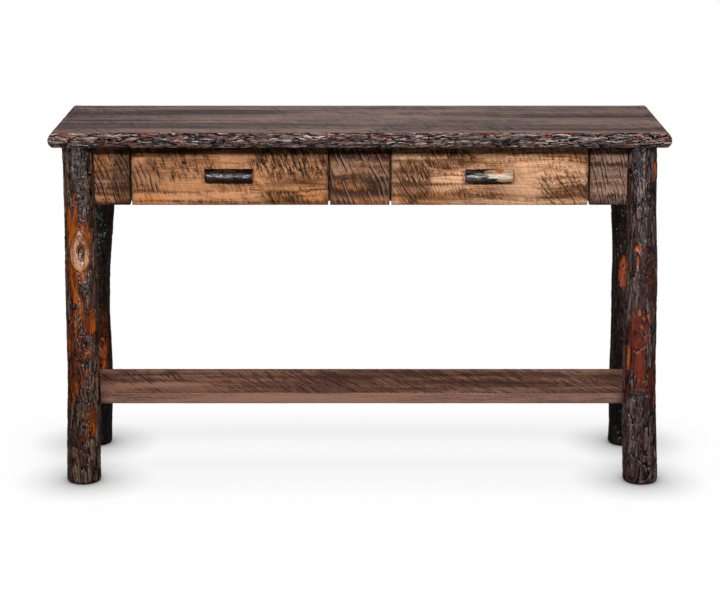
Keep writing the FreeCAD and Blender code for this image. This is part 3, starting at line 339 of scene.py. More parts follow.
@dataclass(frozen=True)
class SawnFinish:
    """Rough sawn wood under satin lacquer.

    The patches name where the saw left deep marks, where the stain gathered, where the wood stayed pale,
    where its growth lines are strong and where it glows orange.
    """

    name: str
    pale: Colour
    mid: Colour
    dark: Colour
    stain: Colour
    mark: Colour
    lay: Lay
    saw_turn: float = -0.34
    saw_curve: float = 0.0
    saw_level: float = 0.74
    saw_pitch: float = 0.0105
    saw_share: float = 0.95
    saw_spread: float = 0.45
    tear_runs: float = 45.0
    stain_share: float = 0.5
    band_pitch: float = 0.03
    line_count: float = 14.0
    line_share: float = 0.9
    rim_share: float = 0.75
    jag_depth: float = 0.018
    seed: float = 0.0
    knots: tuple[Patch, ...] = ()
    bends: tuple[Patch, ...] = ()
    cuts: tuple[Patch, ...] = ()
    stains: tuple[Patch, ...] = ()
    pales: tuple[Patch, ...] = ()
    figures: tuple[Patch, ...] = ()
    glows: tuple[Patch, ...] = ()
    burr: Colour = tone(112, 96, 85)
    glow: Colour = tone(214, 132, 60)
    shine: Shine = Shine(0.0014, coat_rough=0.25)

    def shift(self) -> Triple:
        """Where the patterns start."""
        return (self.seed, self.seed * 0.7, self.seed * 0.3)

    def rows(self, spot: Value, pitch: float) -> tuple[Value, Value]:
        """The rows of the saw's marks.

        Args:
            spot: the board's own coordinates.
            pitch: distance from row to row.

        Returns:
            The number of the row, with its fraction, and the place along it.
        """
        slant, along, _ = spot.place((1.0, 1.0, 1.0), self.saw_turn, self.shift()).parts()
        sway = spot.cloud((9.0, 9.0, 9.0), 2.0, 0.5, shift=self.shift())
        _, turned, through = spot.parts()
        level = turned - through - self.saw_level
        return sway * 3.0 + (slant + level * level * self.saw_curve) / pitch, along

    def scratches(self, spot: Value, pitch: float, runs: float, width: float) -> tuple[Value, Value]:
        """Straight scratches of the saw, each with gaps of its own.

        Args:
            spot: the board's own coordinates.
            pitch: distance from scratch to scratch.
            runs: how many times per metre a scratch may stop and start.
            width: half the width of a scratch, as a share of the pitch.

        Returns:
            The shares of the scratches and of the shade along their left sides.
        """
        row, along = self.rows(spot, pitch)
        start = row.floor() * 3.71
        there = spot.shader.vector(start, along * runs, self.seed).noise(1.0, 2.0, 0.6).step(0.46, 0.58)
        part = row.fract() - 0.5
        line = (abs(part) / (there * width + 0.01)).step(1.0, 0.3)
        # Painted shade: a band along the left side of each scratch.
        side = abs(part + width * 2.2).step(width * 2.0, 0.0)
        return line * there, side * there

    def saw(self, spot: Value, where: Value) -> tuple[Value, Value, Value]:
        """Slanting marks of the saw.

        Args:
            spot: the board's own coordinates.
            where: the share of the marks at a spot.

        Returns:
            The shares of the dark marks (painted shade beside the coarse scratches, and the fine scratches)
            and of the grey marks (the coarse scratches, and a little of the painted shade beside the fine
            ones), and the tear of the fibres.
        """
        coarse, coarse_shade = self.scratches(spot, self.saw_pitch, 12.0, 0.14)
        fine, fine_shade = self.scratches(spot, self.saw_pitch * 0.41, 30.0, 0.24)
        cut = (coarse_shade * 0.9 + fine * 0.55) * where
        burr = (coarse + fine_shade * 0.3) * where
        slanted = spot.place((2.2 / self.saw_pitch, self.tear_runs, 4.0), self.saw_turn, self.shift())
        return cut, burr, slanted.noise(1.0, 3.0, 0.65, 0.4)

    def bent(self, along: Value, across: Value) -> Value:
        """Bends the grain round the knots.

        Args:
            along: the place along the grain.
            across: the place across the grain.

        Returns:
            The place across the bent grain.
        """
        bent = across
        for knot in (*self.knots, *self.bends):
            bent = bent - (across - knot.across) * 0.8 / (2.0 - knot.nearness(along, across))
        return bent

    def layers(self, shader: Shader) -> tuple[Value, Value, Value]:
        """The layers of the sawn face.

        Args:
            shader: the material under construction.

        Returns:
            Colour, roughness and relief.
        """
        along, across, through = shader.lay(self.lay.value).parts()
        spot = shader.vector(along, across + through, through)
        shift = self.shift()

        def near(places: Sequence[Patch], full: float) -> Value:
            """A share that grows from 0 at the patches' rims to 1 at a nearness."""
            return nearest(places, along, across).step(0.0, full)

        blotch = spot.cloud((5.0, 13.0, 3.0), 5.0, 0.62, 0.5, shift)
        speck = spot.cloud((130.0, 420.0, 200.0), 3.0, 0.75, shift=shift)
        end_on, _, face_on = shader.lay(self.lay.value, shader.value("TexCoord", output="Normal")).parts()
        ends = abs(end_on).step(0.8, 0.95)
        facing = abs(face_on).step(0.6, 0.8)
        where = (blotch.step(0.44, 0.6) * self.saw_spread + near(self.cuts, 0.55)) * facing
        cut, burr, tear = self.saw(spot, where.least(1.1))
        tear = shader.blend(facing, 0.5, tear)
        figured = near(self.figures, 0.6)
        row, _ = self.rows(spot, self.saw_pitch * 0.7)
        zigzag = (abs(row.fract() - 0.5) - 0.25) * (blotch.step(0.35, 0.65) * self.jag_depth) * figured
        jag = (tear - 0.5) * self.jag_depth * where + zigzag
        grain = shader.vector(along, jag + through + self.bent(along, across), through)
        rise = 1 / self.band_pitch
        bands = grain.cloud((1.6, rise, 6.0), 3.0, 0.6, 0.4, shift)
        fibres = grain.cloud((14.0, 520.0, 60.0), 3.0, 0.65, shift=shift)
        smooth = grain.cloud((1.8, rise * 0.5, 4.0), 1.0, 0.5, 0.3, shift)
        thin = smooth.line(self.line_count, 0.18) * 0.4
        line = shader.blend(figured, thin, smooth.line(self.line_count * 0.6, 0.4)) * fibres.step(0.3, 0.5)
        body = bands * 0.9 + fibres * 0.5 + speck * 0.4 + tear * 0.5 - 0.65
        glow = near(self.glows, 0.8) * (tear * 0.5 + fibres * 0.5).step(0.42, 0.58)
        stained = blotch.step(0.48, 0.68) * self.stain_share + near(self.stains, 0.6) * 0.9
        heart = nearest(self.knots, along, across)
        core = shader.mix((heart + blotch * 0.4).line(6.0, 0.3), self.stain, self.mark)
        rim = shader.mark("edge") * speck.step(0.25, 0.6) * self.rim_share
        colour = shader.coats(
            shader.ramp(body, ((0.37, self.dark), (0.48, self.mid), (0.59, self.pale))),
            (near(self.pales, 0.8) * 0.6, self.pale),
            (glow * 0.8, self.glow),
            (stained * (speck * 0.3 + tear * 0.7).step(0.4, 0.58), self.stain),
            (line * self.line_share, self.dark),
            # The saw marks' dark colour: painted shade beside the coarse scratches, and the fine scratches.
            (cut * self.saw_share, self.mark),
            (burr * (self.saw_share * 0.7), self.burr),
            (heart.step(0.05, 0.35), core),
            (rim.most(ends * 0.85), self.mark),
        )
        relief = fibres * 0.3 + bands * 0.3 + tear * 0.45 - cut * 0.35 - burr * 0.15 - line * 0.2
        return colour, bands * 0.25 + 0.38, relief

    def material(self) -> Material:
        """The finished material."""
        shader = Shader(self.name)
        return shader.close(*self.layers(shader), self.shine)


@dataclass(frozen=True)
class BarkClouds:
    """Noise on a log: its place, ragged flakes and fine threads along it, and wide soft clouds."""

    spot: Value
    flakes: Value
    streaks: Value
    broad: Value


@dataclass(frozen=True)
class BarkFinish:
    """Lacquered bark with bare wood where it has peeled. It reads the marks that the log's mesh carries."""

    name: str
    # The crest colour lies on the relief's tops: partly the bark's grey plates, partly a painted highlight.
    crest_and_highlight: Colour
    plate: Colour
    # The furrow colour lies in the relief's hollows and gaps: partly the fissures' dark colour, partly
    # painted shade.
    furrow: Colour
    amber: Colour
    rust: Colour
    streak: Colour
    lay: str
    scar: Colour = tone(190, 94, 28)
    knot_pale: Colour = tone(198, 142, 102)
    knot_shade: Colour = tone(128, 80, 50)
    knot_core: Colour = tone(78, 40, 18)
    knot_line: Colour = tone(28, 13, 6)
    sawn: SawnFinish | None = None
    plate_share: float = 0.12
    ember_share: float = 0.5
    gap_start: float = 0.4
    gap_full: float = 1.0
    softness: float = 0.14
    shine: Shine = Shine(0.0022, coat=0.1, coat_rough=0.18)

    def bark(self, shader: Shader, clouds: BarkClouds) -> Value:
        """The colour of the bark itself.

        Args:
            shader: the material under construction.
            clouds: noise on the log.

        Returns:
            The colour.
        """
        # The colour follows the noise that also raises the relief: furrow colour in its low parts, crest
        # colour on its tops. This is partly the bark's grey plates and dark fissures, partly painted
        # highlight on the ridge tops and painted shade in the hollows.
        body = clouds.flakes * 0.6 + clouds.streaks * 0.4 + (shader.mark("tone") - 0.5) * self.plate_share
        furrow = shader.mark("furrow")
        ember = furrow.band(0.25, 0.45, 0.65, 0.9) * clouds.broad.step(0.5, 0.6)
        return shader.coats(
            shader.ramp(body, ((0.38, self.furrow), (0.5, self.plate), (0.66, self.crest_and_highlight))),
            # Painted shade, partly the fissures' own dark colour: the furrow colour over the gaps, grooves
            # and cracks.
            (furrow.step(self.gap_start, self.gap_full), self.furrow),
            (ember * self.ember_share, self.rust),
        )

    def bare(self, shader: Shader, clouds: BarkClouds) -> Value:
        """The colour of the bare wood under the bark.

        Args:
            shader: the material under construction.
            clouds: noise on the log.

        Returns:
            The colour.
        """
        flakes = clouds.flakes
        wash = clouds.spot.cloud((10.0, 45.0, 45.0), 3.0, 0.6, shift=(3.1, 1.7, 0.4))
        threads = clouds.spot.cloud((16.0, 230.0, 230.0), 4.0, 0.65, 0.3)
        dark = threads.step(0.48, 0.4) * flakes.step(0.36, 0.5)
        shreds = flakes.step(0.5, 0.58) * wash.step(0.44, 0.54)
        return shader.coats(
            shader.mix(wash.step(0.38, 0.6), self.amber, self.rust),
            (shader.mark("scar"), self.scar),
            (dark.most(shreds * 0.8), self.streak),
            # Painted shade, partly the wood's own dark grooves: bare wood darkened in its grooves and cracks.
            (shader.mark("furrow") * 0.85, self.streak),
        )

    def knots(self, shader: Shader, clouds: BarkClouds) -> tuple[Value, Value]:
        """The colour of the knots.

        Args:
            shader: the material under construction.
            clouds: noise on the log.

        Returns:
            The share of the knots and their colour.
        """
        knot, core = shader.mark("knot"), shader.mark("core")
        flakes = clouds.flakes
        cloud = clouds.broad - 0.5
        arcs = (cloud * 0.3 + knot).line(4.5, 0.36) * shader.mark("arc") * flakes.step(0.42, 0.54)
        deep = core * (cloud * 2.4 + 1.0)
        rim = knot.band(0.0, 0.03, 0.05, 0.12).most(deep.band(0.0, 0.05, 0.07, 0.16))
        veins = clouds.broad * 0.5 + clouds.streaks * 0.5
        return knot.step(0.0, 0.04), shader.coats(
            shader.mix(veins.step(0.44, 0.54), self.knot_pale, self.knot_shade),
            (arcs * 0.85, self.knot_line),
            (deep.step(0.0, 0.1), self.knot_shade),
            (deep.step(0.14, 0.3), shader.mix(flakes.step(0.4, 0.56), self.knot_line, self.knot_core)),
            (core.band(0.66, 0.72, 0.8, 0.88) * 0.8, self.knot_shade),
            (core.step(0.86, 0.92), self.knot_line),
            (rim * flakes.step(0.3, 0.5), self.knot_line),
        )

    def material(self) -> Material:
        """The finished material."""
        shader = Shader(self.name)
        spot = shader.lay(self.lay, shader.mark("grain", "Vector"))
        flakes = spot.cloud((38.0, 290.0, 290.0), 6.0, 0.74, 0.5)
        streaks = spot.cloud((18.0, 480.0, 480.0), 4.0, 0.6)
        broad = spot.cloud((24.0, 60.0, 60.0), 4.0, 0.6)
        clouds = BarkClouds(spot, flakes, streaks, broad)
        peel = shader.mark("peel")
        ragged = peel + (streaks * 1.6 + flakes * 0.8 - 1.2)
        shown = ragged.step(0.5 - self.softness, 0.5 + self.softness) * peel.step(0.02, 0.2)
        # Painted shade: a dark line along the border between bark and bare wood, standing in for the shade
        # under the bark's torn edge.
        peel_border_shade = ragged.band(0.32, 0.44, 0.5, 0.6) * peel.step(0.02, 0.3)
        knots = self.knots(shader, clouds)
        colour = shader.coats(
            self.bark(shader, clouds),
            (shown, self.bare(shader, clouds)),
            (peel_border_shade * 0.6, self.furrow),
            knots,
        )
        calm = shown.most(knots[0])
        relief = shader.blend(calm, flakes * 0.75 + streaks * 0.25, streaks * 0.2 + flakes * 0.12)
        rough = flakes * 0.35 + 0.28
        if self.sawn is not None:
            edge = shader.mark("bark") + (flakes * 0.5 - 0.25)
            share = edge.step(0.42, 0.56)
            rim = edge.band(0.34, 0.48, 0.64, 0.92) * broad.step(0.48, 0.58)
            wood, wood_rough, wood_relief = self.sawn.layers(shader)
            colour = shader.coats(wood, (share, colour), (rim, self.rust))
            rough = shader.blend(share, wood_rough, rough)
            relief = shader.blend(share, wood_relief, relief)
        lacquer = spot.cloud((80.0, 360.0, 360.0), 2.0, 0.5, 0.4)
        return shader.close(colour, rough, relief, self.shine, lacquer)


@dataclass(frozen=True)
class EndGrainFinish:
    """The sawn end of a log, with its year rings. It reads the ring mark of the log's mesh."""

    name: str
    pale: Colour
    dark: Colour

    def material(self) -> Material:
        """The finished material."""
        shader = Shader(self.name)
        spot = shader.lay("XYZ")
        cloud = spot.noise(90.0, 4.0, 0.6)
        pores = spot.noise(900.0, 2.0, 0.6)
        rings = (shader.mark("ring") + cloud * 0.12).line(11.0, 0.4)
        colour = shader.mix(rings * 0.55 + cloud * 0.5, self.pale, self.dark)
        colour = shader.mix(pores.step(0.56, 0.68), colour, self.dark)
        return shader.close(colour, 0.6, pores, Shine(0.0004, gloss=0.2, coat=0.05))


@dataclass(frozen=True)
class PlanedFinish:
    """Plain planed softwood, as drawer boxes and runners are made of."""

    name: str
    pale: Colour
    dark: Colour
    lay: Lay

    def material(self) -> Material:
        """The finished material."""
        shader = Shader(self.name)
        spot = shader.lay(self.lay.value)
        bands = spot.cloud((1.5, 70.0, 40.0), 3.0, 0.6, 0.7)
        fibres = spot.cloud((16.0, 700.0, 300.0), 3.0, 0.6)
        smooth = spot.cloud((0.9, 26.0, 18.0), 1.0, 0.5, 0.4)
        colour = shader.ramp(bands + fibres * 0.3 - 0.15, ((0.34, self.dark), (0.58, self.pale)))
        colour = shader.mix(smooth.line(12.0, 0.22) * 0.5, colour, self.dark)
        return shader.close(colour, bands * 0.2 + 0.5, fibres, Shine(0.0003))


@dataclass(frozen=True)
class ZincFinish:
    """Zinc plated steel with a slight yellow cast."""

    name: str
    bright: Colour
    dull: Colour

    def material(self) -> Material:
        """The finished material."""
        shader = Shader(self.name)
        cloud = shader.lay("XYZ").noise(900.0, 3.0, 0.6)
        colour = shader.mix(cloud, self.dull, self.bright)
        return shader.close(colour, cloud * 0.25 + 0.25, cloud, Shine(0.0001, gloss=0.5, metal=1.0))


@dataclass(frozen=True)
class LogMark:
    """A patch on a log: its turn from the front towards +X, its place along the log, and its half sizes."""

    turn: float
    place: float
    wide: float
    long: float
    tilt: float = 0.0

    def offset(self, turn: float, place: float, radius: float) -> tuple[float, float]:
        """Where a spot lies from the middle of the patch, in its half sizes, with a tilt that slants it."""
        swing = math.radians((turn - self.turn + 180.0) % 360.0 - 180.0) * radius
        rise = place - self.place - swing * self.tilt
        return swing / self.wide, rise / self.long

    def distance(self, turn: float, place: float, radius: float) -> float:
        """How far a spot lies from the middle of the patch, where 1 is its rim."""
        return math.hypot(*self.offset(turn, place, radius))


def log_marks(*rows: tuple[float, ...]) -> tuple[LogMark, ...]:
    """Patches on a log from rows of their turns, places, half sizes and tilts."""
    return tuple(LogMark(*row) for row in rows)


Marks = dict[str, float]

# A plate's chance value is the fraction of a large sine, so that neighbours get unlike values.
CHANCE_WAY = Vector((12.99, 78.23, 37.72))
CHANCE_GAIN = 437.58


@dataclass(frozen=True)
class Relief:
    """The bark's relief along a log: plates and the gaps between them, threads, peels, knots and cracks."""

    axis: int
    plate_wide: float = 0.0065
    plate_long: float = 0.075
    gap_depth: float = 0.0009
    step: float = 0.0006
    lean: float = 0.0006
    sway: float = 0.005
    thread_pitch: float = 0.004
    thread_long: float = 9.0
    thread_depth: float = 0.001
    peel_depth: float = 0.002
    bare_depth: float = 0.0002
    crack_depth: float = 0.0026
    core_depth: float = 0.0024
    fine_sway: float = 0.0012
    seed: float = 0.0
    peels: tuple[LogMark, ...] = ()
    tints: tuple[LogMark, ...] = ()
    islands: tuple[LogMark, ...] = ()
    scars: tuple[LogMark, ...] = ()
    knots: tuple[LogMark, ...] = ()
    cores: tuple[LogMark, ...] = ()
    cracks: tuple[LogMark, ...] = ()

    def plate(self, spot: Vector) -> tuple[float, float, float]:
        """The bark plate that a spot lies on.

        Args:
            spot: where the spot lies.

        Returns:
            How near the gap beside the plate is, a chance value of the plate, and its slope at the spot.
        """
        start = Vector((self.seed, self.seed * 1.7, self.seed * 0.3))
        cell = spot / self.plate_wide
        cell[self.axis] *= self.plate_wide / self.plate_long
        gaps, seeds = noise.voronoi(cell + start)
        chance = math.sin(seeds[0].dot(CHANCE_WAY)) * CHANCE_GAIN % 1.0
        tilt = Vector((math.cos(chance * 40), math.sin(chance * 40), chance - 0.5))
        slope = (cell + start - seeds[0]).dot(tilt)
        return 1.0 - ease(0.02, 0.2, gaps[1] - gaps[0]), chance, slope

    def thread(self, spot: Vector) -> float:
        """Fine threads along the log, 1 in their grooves."""
        point = Vector(spot)
        point[self.axis] /= self.thread_long
        wave = noise.noise(point / self.thread_pitch + Vector((self.seed, 3.0, 7.0)))
        return 1.0 - ease(0.0, 0.28, abs(wave))

    def swayed(self, spot: Vector) -> Vector:
        """The spot pushed about, so that plates and threads wander."""
        start = Vector((self.seed, self.seed * 0.4, 2.0))
        wide = noise.noise_vector(spot * 20.0 + start) * self.sway
        return spot + wide + noise.noise_vector(spot * 110.0 + start) * self.fine_sway

    def read(self, spot: Vector, turn: float, place: float, radius: float,
             side: Vector) -> tuple[float, Marks, Vector]:
        """The relief at one spot.

        Args:
            spot: where the spot lies.
            turn: its turn round the log, in degrees.
            place: its place along the log.
            radius: the log's radius there.
            side: the way of a growing turn.

        Returns:
            How far the surface moves outwards, the marks for the finish, and the spot pushed round the knots.
        """
        swayed = self.swayed(spot)
        gap, chance, slope = self.plate(swayed)
        thread = self.thread(swayed)
        rough = noise.noise(spot * 160.0 + Vector((self.seed, 1.0, 2.0)))
        ragged = (chance - 0.5) * 0.42 + rough * 0.14
        peel = self.cover(self.peels, turn, place, radius, ragged)
        peel *= 1.0 - self.cover(self.islands, turn, place, radius, ragged)
        scar = self.cover(self.scars, turn, place, radius, rough * 0.2)
        peel = max(peel, scar)
        knot, arc, grain = 0.0, 0.0, Vector(swayed)
        for mark in self.knots:
            swing, rise = mark.offset(turn, place, radius)
            far = (abs(swing * (1.0 + 0.3 * rise)) ** 1.6 + abs(rise) ** 1.6) ** 0.625
            knot = max(knot, 1.0 - far + rough * 0.03)
            arc = max(arc, ease(-0.1, 0.5, rise - swing * 0.5) * ease(1.3, 1.0, far))
            grain -= side * mark.wide * swing * 0.8 * math.exp(-far * far * 0.35)
        core = max((1.0 - mark.distance(turn, place, radius) for mark in self.cores), default=0.0)
        crack = 0.0
        for mark in self.cracks:
            jag = rough * 0.004 + (chance - 0.5) * 0.006
            crack = max(crack, 1.0 - ease(0.3, 1.0, mark.distance(turn, place + jag, radius)))
        plate = self.step * (chance - 0.3) + self.lean * slope
        bark = plate - self.gap_depth * gap - self.thread_depth * (thread - 0.3)
        bare = -self.peel_depth - self.bare_depth * thread
        calm = ease(0.0, 0.1, knot)
        lip = self.peel_depth * (0.9 * ease(0.0, 0.25, knot) * ease(0.75, 0.35, knot) - 1.0)
        height = (bark * (1.0 - peel) + bare * peel) * (1.0 - calm) + lip * calm
        height -= crack * self.crack_depth + ease(0.0, 0.8, core) * self.core_depth
        # The furrow mark covers the gaps between plates, the thread grooves and the cracks. The finishes
        # paint them dark, partly as painted shade in these hollows.
        dark = max(gap * (1.0 - peel), thread * 0.5 * (1.0 - 0.7 * peel), crack) * (1.0 - calm)
        tint = self.cover(self.tints, turn, place, radius, ragged)
        marks = {
            "furrow": dark, "peel": max(peel, tint * (1.0 - gap)), "scar": scar, "knot": max(knot, 0.0),
            "core": max(core, 0.0), "arc": arc, "tone": chance,
        }
        return height, marks, grain

    def cover(self, places: Sequence[LogMark], turn: float, place: float, radius: float,
              ragged: float) -> float:
        """How far a spot lies inside any of the patches, whose rims are ragged."""
        depths = [patch.distance(turn, place, radius) + ragged for patch in places]
        return max((1.0 - ease(0.62, 1.04, depth) for depth in depths), default=0.0)


# Gives the spot, marks and grain for a share of the way round a tube and a share of the way along it.
Surface = Callable[[float, float], tuple[Vector, Marks, Vector]]
MARKS = ("furrow", "peel", "scar", "knot", "core", "arc", "tone", "bark")


def new_piece(name: str, shape: Shape, materials: Sequence[Material]) -> Piece:
    """Makes an object of a finished shape.

    Args:
        name: the piece's name.
        shape: the shape, which is freed.
        materials: the piece's finishes, in the order of its faces' material numbers.

    Returns:
        The new object.
    """
    mesh = bpy.data.meshes.new(name)
    shape.to_mesh(mesh)
    shape.free()
    for material in materials:
        mesh.materials.append(material)
    made = bpy.data.objects.new(name, mesh)
    bpy.context.scene.collection.objects.link(made)
    return made


def fit(made: Piece, node: str, body: str = "frame") -> Piece:
    """Ties a piece to the model.

    Args:
        made: the piece.
        node: the solid that it stands for.
        body: the body that it rides on.

    Returns:
        The piece.
    """
    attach(made, body)
    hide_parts(node)
    return made


def tube(around: int, along: int, surface: Surface) -> Shape:
    """A closed tube whose skin follows a surface, with its caps in the second material.

    Args:
        around: number of steps round the tube.
        along: number of steps along it.
        surface: gives the spot, marks and grain for a share of the way round and a share of the way along.

    Returns:
        The shape.
    """
    shape = bmesh.new()
    bmesh.ops.create_cone(shape, cap_ends=True, segments=around, radius1=1.0, radius2=1.0, depth=1.0)
    uprights = [edge for edge in shape.edges if abs(edge.verts[0].co.z - edge.verts[1].co.z) > 0.5]
    bmesh.ops.subdivide_edges(shape, edges=uprights, cuts=along - 1)
    layers = {name: shape.verts.layers.float.new(name) for name in MARKS}
    ring = shape.verts.layers.float.new("ring")
    way = shape.verts.layers.float_vector.new("grain")
    for vert in shape.verts:
        turn = math.atan2(vert.co.y, vert.co.x) / math.tau % 1.0
        vert.co, marks, vert[way] = surface(turn, vert.co.z + 0.5)
        vert[ring] = 1.0
        for name, layer in layers.items():
            vert[layer] = marks.get(name, 0.0)
    for face in shape.faces:
        face.smooth = len(face.verts) == 4
        face.material_index = 0 if face.smooth else 1
    caps = [face for face in shape.faces if not face.smooth]
    for vert in bmesh.ops.poke(shape, faces=caps)["verts"]:
        vert[ring] = 0.0
    bmesh.ops.recalc_face_normals(shape, faces=shape.faces)
    return shape


class Gauge:
    """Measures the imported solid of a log."""

    def __init__(self, node: Piece) -> None:
        """Takes the solid's mesh."""
        shape = bmesh.new()
        shape.from_mesh(node.data)
        self.tree = BVHTree.FromBMesh(shape)
        shape.free()

    def touch(self, start: Vector, way: Vector) -> Vector:
        """Where a probe that starts outside first meets the solid."""
        return self.tree.ray_cast(start, way)[0]

    def rings(self, middles: Sequence[Vector]) -> list[tuple[Vector, float]]:
        """The circles of a log's bark at rising heights, whatever has been cut out of the log higher up.

        Args:
            middles: a point inside the log at each height.

        Returns:
            The circles' centres and radii.
        """
        count, reach, slack = 48, 0.3, 0.0005
        turns = [math.tau * number / count for number in range(count)]
        ways = [Vector((math.cos(angle), math.sin(angle), 0.0)) for angle in turns]
        circles: list[tuple[Vector, float]] = []
        for middle in middles:
            hits = [self.touch(middle + way * reach, -way) for way in ways]
            if circles:
                centre, radius = circles[-1]
                centre = Vector((centre.x, centre.y, middle.z))
                hits = [hit for hit in hits if abs((hit - centre).length - radius) < slack]
            circles.append(best_circle(hits))
        return circles


def best_circle(points: Sequence[Vector]) -> tuple[Vector, float]:
    """The level circle that lies nearest to some points.

    Args:
        points: points of one height.

    Returns:
        The circle's centre and radius.
    """
    mean = sum(points, Vector()) / len(points)
    arms = [point - mean for point in points]
    east_east = sum(arm.x * arm.x for arm in arms)
    east_north = sum(arm.x * arm.y for arm in arms)
    north_north = sum(arm.y * arm.y for arm in arms)
    east_pull = sum(arm.x * arm.length_squared for arm in arms) / 2
    north_pull = sum(arm.y * arm.length_squared for arm in arms) / 2
    span = east_east * north_north - east_north ** 2
    east = (east_pull * north_north - north_pull * east_north) / span
    north = (north_pull * east_east - east_pull * east_north) / span
    shift = Vector((east, north, 0.0))
    return mean + shift, math.sqrt(shift.length_squared + (east_east + north_north) / len(points))


@dataclass(frozen=True)
class Leg:
    """One barked log leg."""

    name: str
    relief: Relief
    finish: BarkFinish
    foot_bevel: float = 0.005
    bare_bevel: tuple[float, float] = (0.001, 0.003)
    probe_margin: float = 0.001
    around: int = 128
    along: int = 390

    def build(self, node: Piece) -> Piece:
        """Builds the leg round its solid.

        Args:
            node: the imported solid.

        Returns:
            The new piece.
        """
        low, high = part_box(self.name)
        middles = []
        for level in range(self.along + 1):
            place = low.z + (high.z - low.z) * level / self.along
            probe = min(max(place, self.foot_bevel * 2), high.z - self.probe_margin)
            middles.append(Vector(((low.x + high.x) / 2, (low.y + high.y) / 2, probe)))
        rings = Gauge(node).rings(middles)

        def surface(turn: float, share: float) -> tuple[Vector, Marks, Vector]:
            """The skin at shares of the way round and along."""
            place = low.z + (high.z - low.z) * share
            centre, radius = rings[round(share * self.along)]
            angle = turn * math.tau
            way = Vector((math.sin(angle), -math.cos(angle), 0.0))
            side = Vector((math.cos(angle), math.sin(angle), 0.0))
            spot = Vector((centre.x, centre.y, place)) + way * radius
            rise, marks, grain = self.relief.read(spot, math.degrees(angle), place, radius, side)
            chamfer = max(self.foot_bevel - (place - low.z), 0.0)
            marks["peel"] = max(marks["peel"], ease(*self.bare_bevel, chamfer))
            return spot + way * (rise - chamfer), marks, grain

        shape = tube(self.around, self.along, surface)
        made = new_piece(f"{self.name}_log", shape, (self.finish.material(), LOG_END.material()))
        return fit(made, self.name)


@dataclass(frozen=True)
class Stretcher:
    """A barked log between two legs, cut flat where the shelf lies on it."""

    name: str
    relief: Relief
    finish: BarkFinish
    hole_share: float = 0.5
    inset: float = 0.0002
    cut_start: float = 0.0002
    cut_full: float = 0.001
    around: int = 72
    along: int = 150

    def build(self, node: Piece) -> Piece:
        """Builds the stretcher on its solid's skin.

        Args:
            node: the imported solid.

        Returns:
            The new piece.
        """
        low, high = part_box(self.name)
        gauge = Gauge(node)
        radius = (high.x - low.x) / 2
        axis = Vector(((low.x + high.x) / 2, 0.0, low.z + radius))

        def surface(turn: float, share: float) -> tuple[Vector, Marks, Vector]:
            """The skin at shares of the way round and along."""
            angle = turn * math.tau
            way = Vector((math.sin(angle), 0.0, math.cos(angle)))
            side = Vector((math.cos(angle), 0.0, -math.sin(angle)))
            axis.y = low.y + self.inset + (high.y - low.y - 2 * self.inset) * share
            spot = gauge.touch(axis + way * radius * 3, -way) or axis + way * radius * self.hole_share
            cut = ease(radius - self.cut_start, radius - self.cut_full, (spot - axis).length)
            rise, marks, grain = self.relief.read(spot, math.degrees(angle), spot.y, radius, side)
            marks["peel"] = max(marks["peel"], cut)
            return spot + way * min(rise, 0.0) * (1.0 - cut), marks, grain

        shape = tube(self.around, self.along, surface)
        made = new_piece(f"{self.name}_log", shape, (self.finish.material(), LOG_END.material()))
        return fit(made, self.name)


